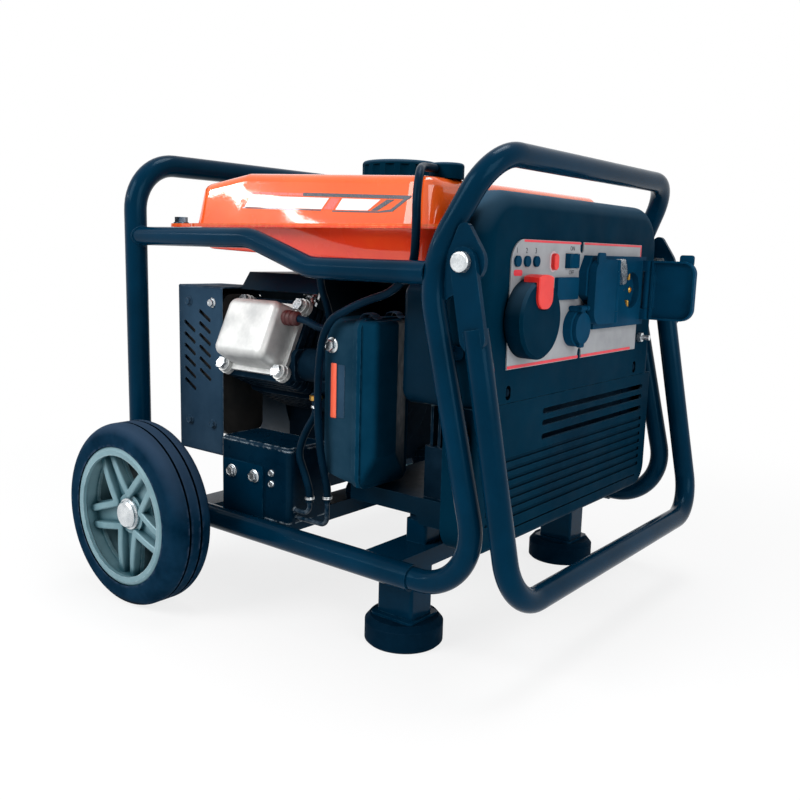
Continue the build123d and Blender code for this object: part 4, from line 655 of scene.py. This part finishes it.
def hex_screw(at, axis, across, tall):
    """A flanged hexagon screw head: a washer and a dished head with its top corners turned off."""
    at = np.asarray(at, float)
    r = across / 2
    rim = [(r * 1.42, -0.3), (r * 1.45, 0.5), (r * 1.28, 1.2), (r, 1.3)]
    sides = [(r, 0.9), (r, tall - 0.7), (r * 0.93, tall)]
    hollow = [(r * 0.72, tall), (r * 0.66, tall - 0.4)]
    return [turned(rim, at, axis), turned(sides + hollow, at, axis, 48, 6)]


def screw_row(places, face, across, tall):
    """Screws at (along, height) places on a face of the near side."""
    return sum([hex_screw((x, face, z), near, across, tall) for x, z in places], [])


guard_screws = screw_row(((-226, 180), (-184, 180), (-226, 324)), guard_face, 8, 4.2)
bright_screw = screw_row([(-184, 324)], guard_face, 8, 4.2)
plate_screws = screw_row(((-109, 143), (-73, 143)), plate_face, 10, 5)
can_screws = screw_row(((-49, 150), (-49, 138)), can_face, 5.5, 3)
box_screws = screw_row([(25, 294)], box_face, 11, 6)
piece("guard_screws", guard_screws, "frame", sheet)
piece("side_screws", bright_screw + plate_screws + can_screws + box_screws, "frame", zinc)

# %% [markdown]
# ## Stripes on the tank
# The tank's flank carries printed stripes. A print has almost no thickness, but a picture would not
# follow the paint, so each stripe is a thin plate on the sloping flank, a quarter of a millimetre
# proud. The flank leans in by 12 degrees, and the stripes run parallel to the tank's top edge,
# which falls towards the front. Both flanks get the set, mirrored.

# %% Tank stripes
flank_lean = math.radians(12)
flank_y, flank_foot = 186, 412
stripe_top, stripe_fall = 31.0, 0.0397
film = {"grain": 1200, "depth": 0.01, "Coat_Weight": 0.6}
white_film = finish("white_film", shade(226, 228, 230), shade(246, 247, 248), (0.22, 0.3),
                    drift=20, **film)
navy_film = finish("navy_film", shade(8, 20, 38), shade(20, 36, 58), (0.24, 0.34), drift=30, **film)
coral_film = finish("coral_film", shade(232, 74, 58), shade(244, 96, 76), (0.24, 0.34), drift=30,
                    **film)


def stripe(outline, side):
    """A print on the tank's flank, from (place along, distance below the upper line) points."""
    along, below = np.asarray(outline, float).T
    outline = np.stack([along, stripe_top - stripe_fall * along - below], axis=1)
    outline = outline if side < 0 else outline * [-1, 1]
    up = (0, -side * math.sin(flank_lean), math.cos(flank_lean))
    foot = (0, side * flank_y, flank_foot)
    return lifted(outline[::side], foot, (-side, 0, 0), up, [(0, -0.3), (0, 0.25)])


bands = {
    "white_stripes": (white_film, [
        [(-102, 2.6), (-110, 15), (5, 14), (13, 2.6)],
        [(31, 2.6), (24, 14), (66, 13.5), (80, 2.6)],
    ]),
    "navy_stripes": (navy_film, [
        [(-24, -2.0), (-24, 1.4), (114, 1.4), (117, -2.0)],
        [(88, 2.4), (70, 13.4), (78, 13.4), (97, 2.4)],
        [(113, 1.4), (97, 13.5), (80, 15.2), (20, 16.2), (20, 14.9), (80, 13.8), (94, 11.6),
         (108, 1.4)],
        [(-112, 15.4), (-112.5, 16.6), (4, 15.7), (5, 14.5)],
    ]),
    "coral_stripes": (coral_film, [
        [(-122, -1.4), (-122, 1.2), (-24, 1.2), (-24, -1.4)],
        [(16, 2.6), (8, 14), (21, 14), (28, 2.6)],
    ]),
}
for name, (coat, outlines) in bands.items():
    prints = [stripe(one, side) for one in outlines for side in (-1, 1)]
    piece(name, prints, "frame", coat)

# %% [markdown]
# ## Printed lines on the panel
# Red lines edge the grey plate at its top and bottom and stop at two small notches. A red field
# marks the lamps, a red dot stands further right, and a pale field lies round the button.

# %% Panel lines
plate_x = 207.2
ink_grain = {"grain": 1800, "depth": 0.01}
red_ink = finish("red_ink", shade(214, 36, 56), shade(232, 52, 70), (0.35, 0.5), drift=30,
                 **ink_grain)
pale_ink = finish("pale_ink", shade(198, 176, 182), shade(216, 198, 202), (0.4, 0.5), drift=30,
                  **ink_grain)


def on_panel(outline):
    """A print on the control panel, from (across, height) points."""
    return lifted(outline, (plate_x, 0, 0), (0, 1, 0), (0, 0, 1), [(0, -0.2), (0, 0.25)])


def bar(left, right, low, high):
    """The four corners of a bar."""
    return [(left, low), (right, low), (right, high), (left, high)]


lines = [
    bar(-127, -15, 400.6, 402.6),
    bar(-7, 135, 400.6, 402.6),
    bar(133.2, 135.2, 386, 400.6),
    bar(-147.4, -8, 284.6, 287.4),
    bar(-1, 122, 284.6, 287.4),
    rounded(15, 5.5, 2.4) + [-136, 372.5],
    rounded(5, 5, 2.45) + [1, 330],
]
button_field = on_panel(rounded(14, 20, 6.9) + [-71, 383])
piece("panel_lines", [on_panel(line) for line in lines], "frame", red_ink)
piece("button_field", [button_field], "frame", pale_ink)

# %% [markdown]
# ## Figures on the panel
# Plain figures stand by the lamps and round the dial. They come from Blender's own font: the text
# is turned into a mesh, and the mesh is then set on the plate.

# %% Panel figures
ink = finish("black_ink", shade(24, 30, 40), shade(40, 48, 58), (0.45, 0.6), drift=40, **ink_grain)


def figure(words, across, height, size):
    """Plain figures as a flat mesh on the panel, standing a fifth of a millimetre proud."""
    text = bpy.data.curves.new("text", "FONT")
    text.body = words
    text.size = size / 1000
    text.extrude = 0.0002
    text.align_x = "CENTER"
    text.align_y = "CENTER"
    holder = bpy.data.objects.new("text", text)
    scene.collection.objects.link(holder)
    shaped = holder.evaluated_get(bpy.context.evaluated_depsgraph_get())
    flat = bpy.data.meshes.new_from_object(shaped)
    bpy.data.objects.remove(holder)
    x, y, z = plate_x / 1000, across / 1000, height / 1000
    flat.transform(Matrix(((0, 0, 1, x), (1, 0, 0, y), (0, 1, 0, z), (0, 0, 0, 1))))
    flat.materials.clear()
    flat.materials.append(ink)
    return flat


notes = [
    ("1", -139, 392.5, 7),
    ("2", -122, 392.5, 7),
    ("3", -105, 392.5, 7),
    ("ON", -32.5, 396, 6),
    ("OFF", -32.5, 372.5, 6),
    ("OFF", -90, 294, 6),
    ("1", -74, 356, 8),
]
for number, note in enumerate(notes):
    printed = bpy.data.objects.new(f"figure_{number + 1}", figure(*note))
    scene.collection.objects.link(printed)
    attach(printed, "frame")
print("figures:", len(notes))

# %% [markdown]
# ## Air box fittings
# The air box carries two bare plates, an orange and a grey one, and two spring clips over its
# parting flange. A clip is a round wire along a bent path that is then stretched to a strip.

# %% Air box plates and clips
orange_film = finish("orange_film", shade(236, 84, 54), shade(246, 104, 72), (0.3, 0.42),
                     grain=1400, depth=0.01, drift=30)
clip_stretch = 6


def on_box(outline):
    """A thin plate on the near side of the air box, from (place along, height) points."""
    rows = [(0, -0.3), (0, 0.5), (0.4, 0.8)]
    return lifted(outline, (0, box_face, 0), (1, 0, 0), (0, 0, 1), rows)


def spring_clip(y):
    """A bent strip over the parting flange: a smooth path swept as a wire, stretched along y."""
    bends = [(50, 321.6), (52, 323.4), (54, 326), (60, 327.4), (66, 326), (68, 323.4), (72, 321.6)]
    strip = rod(smooth_line([(x, y, z) for x, z in bends], 40), 1.0, 12)
    return strip * [1, clip_stretch, 1] - [0, (clip_stretch - 1) * y, 0]


orange_bar = on_box(rounded(7.5, 56, 1) + [28.2, 248])
grey_bar = on_box(rounded(9, 54, 1) + [38.5, 248])
piece("box_orange_bar", [orange_bar], "frame", orange_film)
piece("box_grey_bar", [grey_bar], "frame", sheet)
piece("box_clips", [spring_clip(-168), spring_clip(-130)], "frame", sheet)

# %% [markdown]
# ## Hose fittings
# A rust-red rubber cuff with three ribs holds the breather hose on the valve cover. A hose is held
# by a small wire clamp, two turns of spring wire with its ends turned up. A brass nut sits at one
# end of the fuel hose.

# %% Cuff, clamps and nut
rust = finish("rust_rubber", shade(62, 24, 26), shade(92, 38, 38), (0.45, 0.6), grain=1200,
              drift=40)
ribbed = [(7.5, -3), (8.6, -1), (8.6, 3), (7.4, 4), (8.4, 5), (8.4, 9), (7.2, 10), (8.0, 11),
          (8.0, 15), (5.2, 18), (4.2, 18)]
cuff = turned(ribbed, (-67, -158.8, 314.2), (1, 0, 0))
piece("breather_cuff", [cuff], "frame", rust)
clamp_radius, clamp_pitch, clamp_wire = 4.6, 1.6, 0.7
end_length = 5


def clamp(at, axis):
    """A wire clamp: two turns of a helix about the hose, whose ends turn outwards.

    Over the last eighth of a turn at each end, the radius grows by the end's length.
    """
    turn = np.linspace(0, 4 * np.pi, 80)
    turns = turn / (2 * np.pi)
    axis = unit(axis)
    side = beside(axis)
    reach = clamp_radius + end_length * np.clip(np.abs(turns - 1) * 8 - 7, 0, 1)
    spokes = np.cos(turn)[:, None] * side + np.sin(turn)[:, None] * np.cross(axis, side)
    path = np.asarray(at, float) + reach[:, None] * spokes + turns[:, None] * clamp_pitch * axis
    return rod(path, clamp_wire, 8)


clamps = [
    clamp((-8, -174, 226), (0, 0, -1)),
    clamp((0, -190.5, 129), (0, 0, 1)),
    clamp((22, -187, 133), (0, 0, 1)),
    clamp((10, -164, 306.2), (1, 0, 0)),
    clamp((-25, -152, 372), (0, 0, -1)),
]
piece("hose_clamps", clamps, "frame", zinc)
nut_profile = [(5.2, 0), (6.2, 0.8), (6.2, 5.2), (5.2, 6)]
nut = turned(nut_profile, (-8, -174, 231.5), (0, 0, 1), 48, 6)
piece("fuel_fitting", [nut], "frame", brass)

# %% [markdown]
# ## Welds
# Where a top rail meets the rear leg, the welder leaves a rippled bead along the line in which the
# two tubes cut each other. That line is known: a point at angle a on the rail of radius r stands
# r sin a off the middle, and the leg of radius R is there, sqrt(R2 - (r sin a)2) from its own axis.
# The bead is a wire along that line whose radius swells and thins with the ripples.

# %% Weld beads
rail_radius, leg_radius = 10.5, 12.7
leg_x, rail_z = -263, 398.6
bead_radius, ripple, ripples = 1.5, 0.35, 22


def saddle_bead(y):
    """A rippled bead along the line where a rail along x meets an upright leg."""
    turn = np.linspace(0, 2 * np.pi, 241)
    off = rail_radius * np.sin(turn)
    ahead = leg_x + np.sqrt(leg_radius**2 - off**2)
    line = np.stack([ahead, y + off, rail_z + rail_radius * np.cos(turn)], axis=1)
    return rod(line, bead_radius + ripple * np.abs(np.sin(turn * ripples)), 10)


rail_low, rail_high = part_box("top_rails")
rail_side = (rail_high.y - rail_low.y) * 500 - rail_radius
beads = [saddle_bead(side * rail_side) for side in (-1, 1)]
piece("weld_beads", beads, "frame", enamel)

# %% [markdown]
# ## Wheel backs
# Between its spokes the wheel is shut, so no daylight shows through it. A dished plate closes the
# back of each rim: one profile carried round the axle, from the hub to the rim's inner wall, with
# a raised ring half-way that stiffens it. It turns with its wheel.

# %% Wheel backs
rim_shadow = finish("rim_shadow", shade(34, 72, 82), shade(54, 94, 104), (0.4, 0.55), grain=1100,
                    depth=0.02, drift=18, wear=shade(96, 130, 140))
hub, wall = 21.6, 70.4
dish = [(hub, 20.5), (hub, 17.0), (42, 15.4), (47, 13.2), (52, 13.2), (60, 15.6), (wall, 16.5),
        (wall, 19.0), (hub, 20.5)]
for side, word in ((-1, "left"), (1, "right")):
    low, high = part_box("tyre_" + word)
    middle = np.array(low + high) * 500
    plate = turned(dish, middle, (0, -side, 0), 96)
    piece("wheel_back_" + word, [plate], "wheel_" + word, rim_shadow)

# %% [markdown]
# ## Panel screws and socket contacts
# Two pan-head screws sit deep in the box's screw pockets. Each socket well has a pair of contact
# sleeves and two earth springs, which show when a lid is open.

# %% Panel screws and contacts
outwards = ((0, 1, 0), (0, 0, 1))
pan = [(4.2, -0.5), (4.2, 0.6), (3.6, 1.7), (2.4, 2.4), (1.1, 2.6)]
pans = [turned(pan, (203.2, side * 141, 262), (1, 0, 0)) for side in (-1, 1)]
piece("panel_screws", pans, "frame", dark_casting)
well_x, well_z = 209.2, 353
sleeve_side, spring_side = 9.5, 15
sleeve = [(3.4, -0.4), (3.4, 0.8), (2.9, 1.3), (2.4, 1.3), (2.4, 0.2)]
spring = [(0, -0.3), (0, 3), (0.8, 4.2)]
sleeves, springs = [], []
for well in (11.75, 95.75):
    for side in (-1, 1):
        sleeves.append(turned(sleeve, (well_x, well + side * sleeve_side, well_z), (1, 0, 0), 24))
        outline = rounded(3.6, 8, 1) + [well, well_z + side * spring_side]
        springs.append(lifted(outline, (well_x, 0, 0), *outwards, spring))
piece("socket_contacts", sleeves + springs, "frame", brass)

# %% [markdown]
# ## Back of the control box
# The live ends of the sockets may not be open to the engine bay, so a moulded cover closes the box
# from behind, and rubber strips beside the inverter lead the air from the louvres through its fins.
# The cover is a rounded outline that is lifted backwards in steps: a flange inside the box's rim, a
# straight wall, and a rounded back. Upright ribs stiffen the back.
# A folded lip on the guard's back edge shuts the gap above the muffler in the same way.

# %% Back cover, seals and lip
backwards = ((0, -1, 0), (0, 0, 1))
cover_x, cover_z = 173, 302
hood_depth = 75
flange_rows = [(1.5, -2), (0, -1.5), (0, 1.5), (1.5, 2)]
hood_rows = [(0, 0), (0, 66), (0.8, 69), (2.6, 72), (5.5, 74.2), (9, hood_depth)]
rib_rows = [(0, -1), (0, 2.6), (0.7, 3.4)]
flange = lifted(rounded(374, 106, 6) + [0, 311], (cover_x, 0, 0), *backwards, flange_rows)
hood = lifted(rounded(336, 118, 12) + [0, cover_z], (cover_x, 0, 0), *backwards, hood_rows)
ribs = [lifted(rounded(4, 92, 1.9) + [y, cover_z], (cover_x - hood_depth, 0, 0), *backwards,
               rib_rows) for y in range(-130, 131, 26)]
piece("panel_back_cover", [flange, hood] + ribs, "frame", cowl)

inverter_side, strip_x, strip_z = 150.4, 185, 197
strip_rows = [(1.5, 0), (0, 1.5), (0, 40), (1.2, 42)]
strips = [lifted(rounded(10, 88, 4) + [-side * strip_x, strip_z], (0, side * inverter_side, 0),
                 (-side, 0, 0), (0, 0, 1), strip_rows) for side in (-1, 1)]
piece("air_seals", strips, "frame", rubber)

guard_back = (0, -98, 0)
lip = lifted(rounded(81, 10.8, 2) + [-207.5, 337.4], guard_back, (1, 0, 0), (0, 0, 1),
             [(0.6, -1.4), (0, -1.0), (0, 0)])
piece("guard_lip", [lip], "frame", sheet)

# %% [markdown]
# ## Starter rope
# The rope lies wound inside the drum and comes out only when the grip is pulled, half a metre of
# it. A solid rope cannot do that, so a short, tightly wound three-strand twist sits inside the rope
# boss. It rides on no body: its place is written into its mesh.

# %% Starter rope
pull_tilt = math.radians(20)
drum, boss_reach = np.array([-205, 20, 208]), 86
strand_rows, strand_turns = 640, 60
pull = np.array([0, math.cos(pull_tilt), math.sin(pull_tilt)])
boss = drum + boss_reach * pull
reach = np.linspace(-7, 1.8, strand_rows)
turn = np.linspace(0, 2 * np.pi, 18, endpoint=False)
twist = np.linspace(0, strand_turns * 2 * np.pi, strand_rows)
lobes = 2.0 + 0.35 * np.abs(np.cos(1.5 * (turn[None] + twist[:, None])))
across = np.array([1.0, 0, 0])
ring = np.cos(turn)[:, None] * across + np.sin(turn)[:, None] * np.cross(pull, across)
rope_form = boss + reach[:, None, None] * pull + lobes[:, :, None] * ring
cotton = finish("rope_cotton", shade(54, 60, 66), shade(92, 98, 102), (0.7, 0.85), grain=2000,
                depth=0.1, drift=120)
rope = piece("starter_rope", [rope_form], "frame", cotton)
rope.parent = None
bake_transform(rope)
print("rope blends from", np.round(boss - 7 * pull, 1), "to", np.round(boss + 1.8 * pull, 1))
